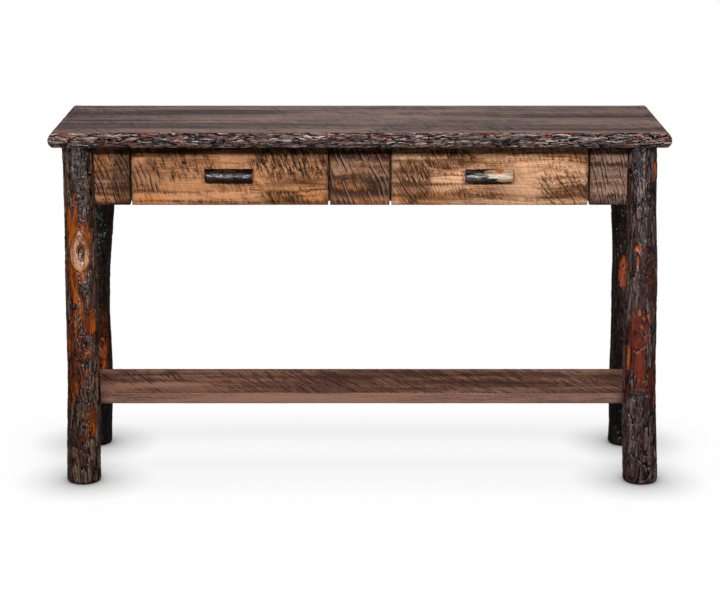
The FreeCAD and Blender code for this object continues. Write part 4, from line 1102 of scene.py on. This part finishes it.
@dataclass(frozen=True)
class BarkEdge:
    """A bark edge of the top: flat wood above and below, and a swelling barked face."""

    name: str
    relief: Relief
    finish: BarkFinish
    along_axis: int
    outward: float
    steps: int
    bulge: float = 0.009
    around: int = 64
    back_end: float = 0.06
    top_end: float = 0.16
    bark_end: float = 0.9
    face_turn: float = 120.0
    level_normal: float = 0.98
    most_bark: float = 0.1

    def profile(self, turn: float, depth: float, height: float) -> tuple[float, float, float, float]:
        """The section: how far out and up a share of the way round it lies, its slope and its bark.

        Args:
            turn: share of the way round the section.
            depth: greatest depth.
            height: height of the section.

        Returns:
            Distance out from the back, height, outward share of the surface's normal, and the bark's share.
        """
        flat = depth - self.bulge
        if turn < self.back_end:
            return 0.0, height * turn / self.back_end, 0.0, 0.0
        if turn < self.top_end:
            share = (turn - self.back_end) / (self.top_end - self.back_end)
            return flat * share, height, 0.0, ease(0.8, 1.0, share) * 0.5
        if turn < self.bark_end:
            share = (turn - self.top_end) / (self.bark_end - self.top_end)
            radius = ((height / 2) ** 2 + self.bulge ** 2) / (2 * self.bulge)
            half = math.asin(height / 2 / radius)
            angle = half - 2 * half * share
            out = flat + radius * (math.cos(angle) - math.cos(half))
            up = height / 2 + radius * math.sin(angle)
            return out, up, math.cos(angle), 0.5 + 0.5 * ease(0.0, 0.08, share)
        share = (turn - self.bark_end) / (1.0 - self.bark_end)
        return flat * (1 - share), 0.0, 0.0, 0.5 * (1 - share)

    def build(self) -> Piece:
        """Builds the edge in its solid's box.

        Returns:
            The new piece.
        """
        low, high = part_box(self.name)
        across = 1 - self.along_axis
        depth, height = high[across] - low[across], high.z - low.z
        back = low[across] if self.outward > 0 else high[across]

        def surface(turn: float, share: float) -> tuple[Vector, Marks, Vector]:
            """The skin at shares of the way round and along."""
            out, up, slope, bark = self.profile(turn, depth, height)
            start, end = low[self.along_axis], high[self.along_axis]
            mitre = depth - out
            start += mitre
            end -= mitre if self.along_axis == 0 else 0.0
            spot = Vector((0.0, 0.0, low.z + up))
            spot[across] = back + self.outward * out
            spot[self.along_axis] = start + (end - start) * share
            level = (spot.z - low.z - height / 2) / height * self.face_turn
            place = spot[self.along_axis]
            rise, marks, grain = self.relief.read(spot, level, place, depth, Vector((0.0, 0.0, 1.0)))
            push = min(rise, 0.0) * ease(0.4, 0.6, bark)
            spot[across] += self.outward * push * max(slope, 0.6)
            marks["bark"] = bark
            marks["furrow"] *= ease(0.4, 0.7, bark)
            return spot, marks, grain

        shape = tube(self.around, self.steps, surface)
        bark = shape.verts.layers.float["bark"]
        for face in shape.faces:
            face.smooth = face.smooth and abs(face.normal.z) < self.level_normal
            barked = max(vert[bark] for vert in face.verts) >= self.most_bark
            if face.normal.z > self.level_normal and not barked:
                face.material_index = 2
        finishes = (self.finish, LOG_END, TOP_WOOD)
        made = new_piece(f"{self.name}_bark", shape, [finish.material() for finish in finishes])
        return fit(made, self.name)


@dataclass(frozen=True)
class Board:
    """A rough sawn board in the box of its solid, with worn edges and saw furrows across its faces."""

    node: str
    finish: SawnFinish
    slot: str
    body: str = "frame"
    ease_width: float = 0.0016
    sharp_angle: float = 1.0
    cell: float = 0.005
    wave: float = 0.0004
    furrow: float = 0.0004
    rim: float = 0.007

    def build(self) -> Piece:
        """Builds the board in its solid's box.

        Returns:
            The new piece.
        """
        low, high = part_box(self.node)
        size, middle = high - low, (high + low) / 2
        shape = bmesh.new()
        bmesh.ops.create_cube(shape, size=1.0)
        bmesh.ops.scale(shape, vec=size, verts=shape.verts)
        bmesh.ops.translate(shape, vec=middle, verts=shape.verts)
        for axis in range(3):
            long = size[axis] * 0.9
            run = [edge for edge in shape.edges if abs((edge.verts[0].co - edge.verts[1].co)[axis]) > long]
            cuts = max(round(size[axis] / self.cell) - 1, 0)
            if cuts:
                bmesh.ops.subdivide_edges(shape, edges=run, cuts=cuts, use_grid_fill=True)
        for face in shape.faces:
            face.smooth = True
        paired = [edge for edge in shape.edges if len(edge.link_faces) == 2]
        sharp = [edge for edge in paired if edge.calc_face_angle() > self.sharp_angle]
        worn = bmesh.ops.bevel(
            shape, geom=sharp, offset=self.ease_width, affect="EDGES", segments=2, profile=0.5, material=-1,
        )
        for face in worn["faces"]:
            face.smooth = False
        self.wear(shape, low, high)
        made = new_piece(f"{self.node}_board", shape, (self.finish.material(),))
        return fit(made, self.node, self.body)

    def wear(self, shape: Shape, low: Vector, high: Vector) -> None:
        """Sinks the faces by waves and saw furrows, and marks the board's rim.

        Args:
            shape: the board.
            low: low corner of its box.
            high: high corner of its box.
        """
        edge = shape.verts.layers.float.new("edge")
        axes = ["XYZ".index(letter) for letter in self.finish.lay.value]
        turn = self.finish.saw_turn
        for vert in shape.verts:
            gaps = sorted(min(vert.co[axis] - low[axis], high[axis] - vert.co[axis]) for axis in range(3))
            vert[edge] = math.exp(-max(gaps[1], 0.0) / self.rim)
            along, across = vert.co[axes[0]], vert.co[axes[1]]
            slant = along * math.cos(turn) - across * math.sin(turn)
            wide = noise.noise(vert.co * 16.0)
            fine = noise.noise(Vector((slant / self.finish.saw_pitch * 0.5, across * 9.0, self.finish.seed)))
            sink = (wide * 0.5 + 0.5) * self.wave + (fine * 0.5 + 0.5) * self.furrow
            vert.co -= vert.normal * sink


@dataclass(frozen=True)
class Pull:
    """A twig pull with a flat back, cut square at the left and slanting at the right."""

    side: str
    relief: Relief
    finish: BarkFinish
    slant: float = 0.005
    flat: float = 0.005
    slim: float = 0.98
    end_wear: float = 0.001
    end_reach: float = 0.002
    around: int = 72
    along: int = 120

    def build(self) -> Piece:
        """Builds the pull in its solid's box.

        Returns:
            The new piece.
        """
        node = f"drawer_{self.side}_pull"
        low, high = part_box(node)
        radius = (high.z - low.z) / 2 * self.slim
        back = high.y
        axis_y = back + self.flat - radius
        axis_z = (low.z + high.z) / 2

        def surface(turn: float, share: float) -> tuple[Vector, Marks, Vector]:
            """The skin at shares of the way round and along."""
            angle = turn * math.tau
            way = Vector((0.0, -math.cos(angle), math.sin(angle)))
            side = Vector((0.0, math.sin(angle), math.cos(angle)))
            place = low.x + (high.x - low.x) * share
            spot = Vector((place, axis_y, axis_z)) + way * radius
            middle = place - (low.x + high.x) / 2
            rise, marks, grain = self.relief.read(spot, math.degrees(angle), middle, radius, side)
            end = min(share, 1.0 - share) * (high.x - low.x)
            spot += way * (min(rise, 0.0) - self.end_wear * ease(self.end_reach, 0.0, end))
            spot.y = min(spot.y, back)
            depth = (back - spot.y) / (2 * radius)
            spot.x -= ease(0.5, 1.0, share) * self.slant * depth
            return spot, marks, grain

        shape = tube(self.around, self.along, surface)
        made = new_piece(f"{node}_twig", shape, (self.finish.material(), TWIG_END.material()))
        return fit(made, node, f"drawer_{self.side}")


LOG_END = EndGrainFinish("log_end", tone(160, 112, 68), tone(86, 52, 28))
TWIG_END = EndGrainFinish("twig_end", tone(196, 150, 104), tone(132, 86, 50))
TOP_WOOD = SawnFinish(
    "top_wood", tone(134, 108, 98), tone(96, 80, 75), tone(60, 50, 48), tone(66, 57, 56), tone(32, 26, 25),
    Lay.FLAT, saw_turn=-0.4, saw_pitch=0.022, saw_share=0.8, saw_spread=1.0, tear_runs=12.0,
    band_pitch=0.05, line_share=0.25, rim_share=0.0, seed=2.3,
    shine=Shine(0.0014, gloss=0.25, coat=0.1, coat_rough=0.25), burr=tone(112, 96, 90),
    pales=patches((0.0, 0.192, 2.4, 0.02), (0.0, 0.004, 2.4, 0.018), (0.0, -0.185, 2.4, 0.024)),
    stains=patches((-0.5, 0.1, 0.4, 0.06), (-0.35, -0.1, 0.5, 0.05), (0.25, -0.09, 0.3, 0.04)),
)
SHELF_WOOD = SawnFinish(
    "shelf_wood", tone(152, 110, 91), tone(120, 84, 69), tone(80, 53, 42), tone(80, 54, 43), tone(30, 20, 17),
    Lay.FLAT, saw_turn=-0.5, saw_pitch=0.011, saw_share=1.0, saw_spread=1.1, tear_runs=4.5, stain_share=0.4,
    band_pitch=0.045, line_share=0.3, rim_share=0.25, seed=7.9,
    shine=Shine(0.0014, gloss=0.03, coat_rough=0.25), burr=tone(58, 42, 36),
    cuts=patches((0.22, -0.02, 0.62, 0.3), (-0.55, 0.06, 0.2, 0.1)),
)


@dataclass(frozen=True)
class ApronShade:
    """The colours of an apron board: pale, middle, dark and stained wood."""

    pale: Colour
    mid: Colour
    dark: Colour
    stain: Colour

    def finish(self, name: str, lay: Lay = Lay.FRONT, **features: object) -> SawnFinish:
        """A board's finish in these colours, with features of its own."""
        return SawnFinish(name, self.pale, self.mid, self.dark, self.stain, tone(34, 22, 15), lay, **features)


HONEY = ApronShade(tone(208, 150, 107), tone(156, 104, 70), tone(78, 45, 24), tone(64, 39, 24))
PALE_HONEY = ApronShade(tone(238, 187, 147), tone(192, 138, 101), tone(96, 60, 35), tone(76, 48, 31))
UMBER = ApronShade(tone(182, 134, 102), tone(128, 88, 65), tone(54, 34, 23), tone(52, 34, 24))
GREY_UMBER = ApronShade(tone(186, 145, 122), tone(134, 101, 84), tone(58, 42, 34), tone(56, 42, 36))

LEG_BARK = BarkFinish(
    "leg_bark", tone(142, 115, 98), tone(62, 45, 35), tone(6, 3, 2), tone(164, 78, 14), tone(98, 41, 11),
    tone(32, 13, 5), "ZXY",
)
RED_BARK = BarkFinish(
    "red_leg_bark", tone(140, 116, 109), tone(66, 48, 43), tone(6, 4, 4), tone(116, 43, 20), tone(66, 27, 18),
    tone(20, 8, 6), "ZXY", knot_pale=tone(206, 104, 40), knot_shade=tone(176, 82, 28),
    knot_core=tone(112, 48, 18), softness=0.32,
)
# Painted shade: the leg bark in darker tones for the back legs, so that they come out dark as if in shade.
SHADED_BACK_BARK = BarkFinish(
    "back_leg_bark", tone(72, 54, 43), tone(30, 19, 14), tone(4, 2, 2), tone(112, 46, 14), tone(70, 27, 9),
    tone(18, 8, 4), "ZXY", scar=tone(184, 86, 28), knot_pale=tone(196, 108, 66), knot_shade=tone(136, 64, 32),
    knot_core=tone(70, 30, 14), softness=0.2,
)
EDGE_COLOURS = (
    tone(206, 190, 186), tone(108, 84, 75), tone(5, 3, 2), tone(118, 52, 22), tone(136, 56, 22),
    tone(40, 17, 10),
)
EDGE_LOOK = {
    "shine": Shine(0.0022, coat=0.07, coat_rough=0.18), "sawn": TOP_WOOD, "plate_share": 0.16,
    "gap_start": 0.22, "gap_full": 0.56,
}
EDGE_BARK_X = BarkFinish("front_edge_bark", *EDGE_COLOURS, "XYZ", **EDGE_LOOK)
EDGE_BARK_Y = BarkFinish("end_edge_bark", *EDGE_COLOURS, "YXZ", **EDGE_LOOK)
TWIG_SHINE = Shine(0.0007, coat=0.15, coat_rough=0.18)
DARK_TWIG = BarkFinish(
    "dark_twig", tone(72, 46, 37), tone(36, 20, 16), tone(8, 5, 4), tone(120, 92, 76), tone(92, 60, 44),
    tone(40, 22, 16), "XYZ", shine=TWIG_SHINE,
)
PALE_TWIG = BarkFinish(
    "pale_twig", tone(98, 92, 95), tone(50, 45, 48), tone(12, 9, 9), tone(206, 184, 154), tone(172, 142, 108),
    tone(96, 70, 48), "XYZ", scar=tone(190, 96, 36), shine=TWIG_SHINE,
)

LEGS = (
    Leg("leg_front_left", Relief(
        2, seed=1.0,
        peels=log_marks(
            (-12, 0.52, 0.03, 0.165), (24, 0.56, 0.016, 0.07), (30, 0.38, 0.022, 0.04),
            (46, 0.145, 0.01, 0.05), (170, 0.45, 0.03, 0.12),
            (-120, 0.62, 0.02, 0.09), (100, 0.3, 0.02, 0.08),
        ),
        tints=log_marks(
            (-36, 0.29, 0.03, 0.13), (14, 0.315, 0.01, 0.08), (26, 0.14, 0.014, 0.05),
            (-2, 0.098, 0.009, 0.018),
        ),
        islands=log_marks(
            (6, 0.63, 0.005, 0.034), (-22, 0.645, 0.004, 0.03), (24, 0.455, 0.012, 0.026),
            (-20, 0.42, 0.012, 0.008), (-6, 0.37, 0.004, 0.03),
        ),
        knots=log_marks((2, 0.547, 0.0275, 0.05)), cores=log_marks((7, 0.5435, 0.0115, 0.022)),
        cracks=log_marks(
            (14, 0.15, 0.013, 0.004, 0.3), (10, 0.134, 0.014, 0.003, -0.2),
            (78, 0.409, 0.003, 0.172), (-84, 0.196, 0.003, 0.118), (-100, 0.59, 0.003, 0.157),
        ),
    ), LEG_BARK),
    Leg("leg_front_right", Relief(
        2, seed=4.0, gap_depth=0.001, step=0.0008, plate_wide=0.009, plate_long=0.09,
        peels=log_marks(
            (-6, 0.33, 0.032, 0.125), (190, 0.5, 0.03, 0.1),
            (110, 0.3, 0.02, 0.09), (-100, 0.6, 0.02, 0.08),
        ),
        tints=log_marks((8, 0.49, 0.026, 0.07), (48, 0.24, 0.014, 0.08), (-52, 0.3, 0.014, 0.12)),
        islands=log_marks((20, 0.3, 0.006, 0.05), (-30, 0.24, 0.006, 0.04)),
        scars=log_marks(
            (58, 0.728, 0.01, 0.027), (-10, 0.405, 0.004, 0.008), (8, 0.392, 0.005, 0.006),
            (24, 0.4, 0.004, 0.009), (-52, 0.3, 0.005, 0.035), (0, 0.372, 0.004, 0.006),
            (54, 0.19, 0.004, 0.02), (-22, 0.521, 0.0035, 0.022),
        ),
        knots=log_marks((-21, 0.5515, 0.0088, 0.009)), cores=log_marks((-17, 0.551, 0.0016, 0.003)),
        cracks=log_marks(
            (0, 0.055, 0.05, 0.004, -0.55), (10, 0.49, 0.034, 0.003, -0.45),
            (-4, 0.62, 0.022, 0.003, 0.35), (-10, 0.32, 0.02, 0.003, 0.4),
            (72, 0.538, 0.003, 0.185), (-84, 0.424, 0.003, 0.188), (110, 0.236, 0.003, 0.157),
        ),
    ), RED_BARK),
    Leg("leg_back_left", Relief(
        2, seed=7.0,
        peels=log_marks((42, 0.26, 0.02, 0.1), (200, 0.52, 0.03, 0.12), (48, 0.58, 0.01, 0.05)),
        scars=log_marks((38, 0.19, 0.008, 0.03)), knots=log_marks((36, 0.2425, 0.012, 0.03)),
        cores=log_marks((32, 0.253, 0.006, 0.012)),
        cracks=log_marks((82, 0.464, 0.003, 0.15), (-60, 0.354, 0.003, 0.196), (125, 0.236, 0.003, 0.157)),
    ), SHADED_BACK_BARK),
    Leg("leg_back_right", Relief(
        2, seed=11.0, peels=log_marks((-24, 0.43, 0.014, 0.052), (150, 0.35, 0.03, 0.1)),
        scars=log_marks((-24, 0.43, 0.0125, 0.045)), knots=log_marks((-24, 0.445, 0.005, 0.012)),
        cores=log_marks((-24, 0.445, 0.002, 0.005)),
        cracks=log_marks((-75, 0.314, 0.003, 0.157), (60, 0.432, 0.003, 0.196), (-125, 0.483, 0.003, 0.13)),
    ), SHADED_BACK_BARK),
)
STRETCHERS = (
    Stretcher("stretcher_left", Relief(1, seed=13.0), LEG_BARK),
    Stretcher("stretcher_right", Relief(1, seed=15.0), LEG_BARK),
)
EDGE_PLATES = {
    "plate_wide": 0.0036, "plate_long": 0.062, "gap_depth": 0.002, "step": 0.0018, "lean": 0.0016,
    "sway": 0.007, "thread_pitch": 0.003, "thread_long": 12.0, "thread_depth": 0.0016,
}
EDGES = (
    BarkEdge("bark_edge_front", Relief(0, seed=2.0, **EDGE_PLATES), EDGE_BARK_X, 0, -1.0, 760),
    BarkEdge("bark_edge_left", Relief(1, seed=5.0, **EDGE_PLATES), EDGE_BARK_Y, 1, -1.0, 230),
    BarkEdge("bark_edge_right", Relief(1, seed=8.0, **EDGE_PLATES), EDGE_BARK_Y, 1, 1.0, 230),
)
BOARDS = (
    Board("apron_stile_left", UMBER.finish(
        "left_stile_wood", seed=3.1, stain_share=0.3, cuts=patches((-0.565, 0.715, 0.07, 0.09)),
        stains=patches((-0.53, 0.7, 0.03, 0.09)), figures=patches((-0.56, 0.7, 0.07, 0.05)),
        glows=patches((-0.58, 0.74, 0.03, 0.05), (-0.56, 0.66, 0.05, 0.012)),
    ), "apron_wood"),
    Board("apron_stile_centre", UMBER.finish(
        "centre_stile_wood", seed=5.2, cuts=patches((0.0, 0.715, 0.09, 0.1)), stain_share=0.4,
        burr=tone(144, 131, 126), figures=patches((0.0, 0.688, 0.1, 0.035)),
        glows=patches((0.02, 0.655, 0.06, 0.014), (-0.03, 0.685, 0.06, 0.01)),
    ), "apron_wood"),
    Board("apron_stile_right", GREY_UMBER.finish(
        "right_stile_wood", seed=9.4, cuts=patches((0.56, 0.72, 0.08, 0.1)), stain_share=0.4, line_share=0.6,
        bends=patches((0.57, 0.655, 0.03, 0.02)), saw_pitch=0.008, saw_curve=1.5, burr=tone(148, 134, 128),
    ), "apron_wood"),
    Board("drawer_left_front", HONEY.finish(
        "left_front_wood", seed=1.7, knots=patches((-0.392, 0.741, 0.006, 0.004)),
        cuts=patches((-0.478, 0.705, 0.035, 0.06), (-0.165, 0.738, 0.1, 0.045), (-0.15, 0.663, 0.09, 0.024)),
        stains=patches((-0.4, 0.738, 0.1, 0.045), (-0.14, 0.74, 0.12, 0.06), (-0.18, 0.664, 0.06, 0.02)),
        pales=patches((-0.39, 0.69, 0.09, 0.02)), figures=patches((-0.13, 0.672, 0.11, 0.035)),
        glows=patches((-0.13, 0.662, 0.1, 0.022), (-0.47, 0.657, 0.05, 0.015)),
    ), "apron_wood", "drawer_left"),
    Board("drawer_right_front", PALE_HONEY.finish(
        "right_front_wood", seed=4.6, saw_curve=-3.0, bends=patches((0.427, 0.707, 0.034, 0.024)),
        cuts=patches((0.115, 0.7, 0.05, 0.06), (0.46, 0.69, 0.07, 0.065)),
        stains=patches((0.2, 0.75, 0.08, 0.03), (0.12, 0.7, 0.05, 0.06)),
        pales=patches((0.37, 0.7, 0.09, 0.05)), glows=patches((0.14, 0.66, 0.09, 0.02)),
        figures=patches((0.16, 0.68, 0.1, 0.03), (0.45, 0.685, 0.07, 0.05)),
    ), "apron_wood", "drawer_right"),
    Board("apron_back", HONEY.finish(
        "back_apron_wood", seed=6.6, cuts=patches((0.2, 0.71, 0.2, 0.08)),
    ), "apron_wood"),
    Board("apron_end_left", HONEY.finish("left_end_wood", Lay.END, seed=8.1), "apron_wood"),
    Board("apron_end_right", HONEY.finish("right_end_wood", Lay.END, seed=2.9), "apron_wood"),
    Board("top_plank_front", TOP_WOOD, "top_wood", ease_width=0.0006, wave=0.0003, furrow=0.0003),
    Board("top_plank_back", TOP_WOOD, "top_wood", ease_width=0.0006, wave=0.0003, furrow=0.0003),
    Board("lower_shelf", SHELF_WOOD, "shelf_wood"),
)
TWIG_PLATES = {
    "plate_wide": 0.01, "plate_long": 0.05, "gap_depth": 0.0004, "step": 0.0004, "lean": 0.0003,
    "sway": 0.003, "thread_depth": 0.0003, "peel_depth": 0.0005,
}
PULLS = (
    Pull("left", Relief(0, seed=3.0, peels=log_marks((-20, 0.004, 0.005, 0.006)), **TWIG_PLATES), DARK_TWIG),
    Pull("right", Relief(
        0, seed=6.0, peels=log_marks((0, 0.04, 0.04, 0.026), (30, 0.012, 0.012, 0.03)),
        scars=log_marks((60, 0.022, 0.009, 0.014)), **TWIG_PLATES,
    ), PALE_TWIG),
)


@dataclass(frozen=True)
class Studio:
    """A pale floor, soft lights and the camera."""

    lens: float = 108.49
    sensor: float = 36.0
    far_clip: float = 200.0
    camera_place: Triple = (0.00045, -4.903, 1.59826)
    camera_pitch: float = 11.9
    camera_shift: float = -0.1
    floor_radius: float = 60.0
    ambient: float = 0.018
    near_white: float = 0.72
    shade_reach: float = 0.4
    contact_reach: float = 0.13
    contact_depth: float = 2.2
    table_half: tuple[float, float] = (0.62, 0.12)
    aim: Triple = (0.0, 0.0, 0.45)
    dim: Colour = tone(60, 60, 60)
    pale: Colour = tone(248, 248, 248)

    def build(self) -> None:
        """Builds the stage."""
        self.floor()
        self.world()
        for side, name in ((-1, "left"), (1, "right")):
            self.lamp(f"key_{name}", (side * 1.15, -3.9, 2.5), (1.6, 0.6), 109.0)
            self.lamp(f"fill_{name}", (side * 3.4, 0.3, 1.3), (2.4, 1.6), 22.0)
            back = self.lamp(f"back_{name}", (side * 1.8, 3.2, 1.0), (1.6, 1.0), 36.0)
            back.visible_glossy = False
            glint = self.lamp(f"glint_{name}", (side * 0.35, -4.3, 0.75), (0.1, 1.4), 420.0)
            glint.data.color = (0.82, 0.9, 1.0)
            glint.visible_diffuse = False
        self.lamp("overhead", (0.0, -0.5, 3.2), (1.4, 1.4), 26.0)
        self.lamp("rear", (0.0, 2.3, 4.2), (1.4, 1.4), 45.0)
        self.camera()

    def floor(self) -> None:
        """A wide pale disc that is plain white away from the table and takes its shadow near it."""
        shape = bmesh.new()
        bmesh.ops.create_circle(shape, cap_ends=True, segments=96, radius=self.floor_radius)
        shader = Shader("studio_floor")
        gaps = []
        for place, half in zip(shader.value("TexCoord", output="Object").parts(), self.table_half):
            gaps.append((abs(place) - half).most(0.0))
        distance = shader.math("SQRT", gaps[0] * gaps[0] + gaps[1] * gaps[1])
        white = distance.step(0.0, self.shade_reach) * (1.0 - self.near_white) + self.near_white
        path = shader.node("LightPath").outputs
        rays = [Value(shader, path[f"Is {kind} Ray"]) for kind in ("Camera", "Glossy", "Transmission")]
        seen = rays[0].most(rays[1]).most(rays[2])
        paint = shader.value("BsdfDiffuse", Color=shader.mix(seen, self.dim, self.pale))
        contact = shader.value("AmbientOcclusion", output="AO", Distance=self.contact_reach)
        shade = shader.math("POWER", contact, self.contact_depth)
        glow = shader.value("Emission", Color=(1.0, 1.0, 1.0, 1.0), Strength=shade)
        surface = shader.node("MixShader", Fac=white * seen)
        shader.feed(surface.inputs[1], paint)
        shader.feed(surface.inputs[2], glow)
        shader.node("OutputMaterial", Surface=Value(shader, surface.outputs[0]))
        new_piece("studio_floor", shape, (shader.material,))

    def world(self) -> None:
        """An even dim surround."""
        world = bpy.data.worlds.new("studio")
        world.use_nodes = True
        background = world.node_tree.nodes["Background"]
        background.inputs["Color"].default_value = (1.0, 1.0, 1.0, 1.0)
        background.inputs["Strength"].default_value = self.ambient
        bpy.context.scene.world = world

    def lamp(self, name: str, place: Triple, size: tuple[float, float], power: float) -> Piece:
        """A soft light that faces the table.

        Args:
            name: the lamp's name.
            place: where it hangs.
            size: its width and height.
            power: its power in watts.

        Returns:
            The lamp.
        """
        data = bpy.data.lights.new(name, "AREA")
        data.shape = "RECTANGLE"
        data.size, data.size_y = size
        data.energy = power
        made = bpy.data.objects.new(name, data)
        made.location = place
        made.visible_camera = False
        made.rotation_euler = (Vector(self.aim) - Vector(place)).to_track_quat("-Z", "Y").to_euler()
        bpy.context.scene.collection.objects.link(made)
        return made

    def camera(self) -> None:
        """The camera of the photograph."""
        data = bpy.data.cameras.new("camera")
        data.lens = self.lens
        data.sensor_width = self.sensor
        data.shift_y = self.camera_shift
        data.clip_end = self.far_clip
        made = bpy.data.objects.new("camera", data)
        made.location = self.camera_place
        made.rotation_euler = (math.radians(90.0 - self.camera_pitch), 0.0, 0.0)
        bpy.context.scene.collection.objects.link(made)
        bpy.context.scene.camera = made


def dress_hidden_pieces(nodes: dict[str, Piece]) -> None:
    """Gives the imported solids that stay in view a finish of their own.

    Args:
        nodes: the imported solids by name.
    """
    finishes = {}
    for lay in Lay:
        name = f"planed_wood_{lay.name.lower()}"
        finishes[lay] = PlanedFinish(name, tone(206, 166, 118), tone(160, 114, 72), lay).material()
    zinc = ZincFinish("zinc", tone(196, 188, 160), tone(140, 132, 108)).material()
    for name, node in nodes.items():
        low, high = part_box(name)
        size = high - low
        if "screws" in name:
            material = zinc
        elif size.y > max(size.x, size.z):
            material = finishes[Lay.END]
        elif size.z < min(size.x, size.y):
            material = finishes[Lay.FLAT]
        else:
            material = finishes[Lay.FRONT]
        node.data.materials.clear()
        node.data.materials.append(material)


def main() -> None:
    """Builds every piece in order."""
    logging.basicConfig(level=logging.INFO, format="%(message)s")
    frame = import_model()
    bpy.context.scene.view_settings.view_transform = "Standard"
    noise.seed_set(SWAY_SEED)
    dress_hidden_pieces(frame["nodes"])
    for piece in (*LEGS, *STRETCHERS):
        log.info("built %s", piece.build(frame["nodes"][piece.name]).name)
    for piece in (*EDGES, *BOARDS, *PULLS):
        log.info("built %s", piece.build().name)
    Studio().build()


if __name__ == "__main__":
    main()
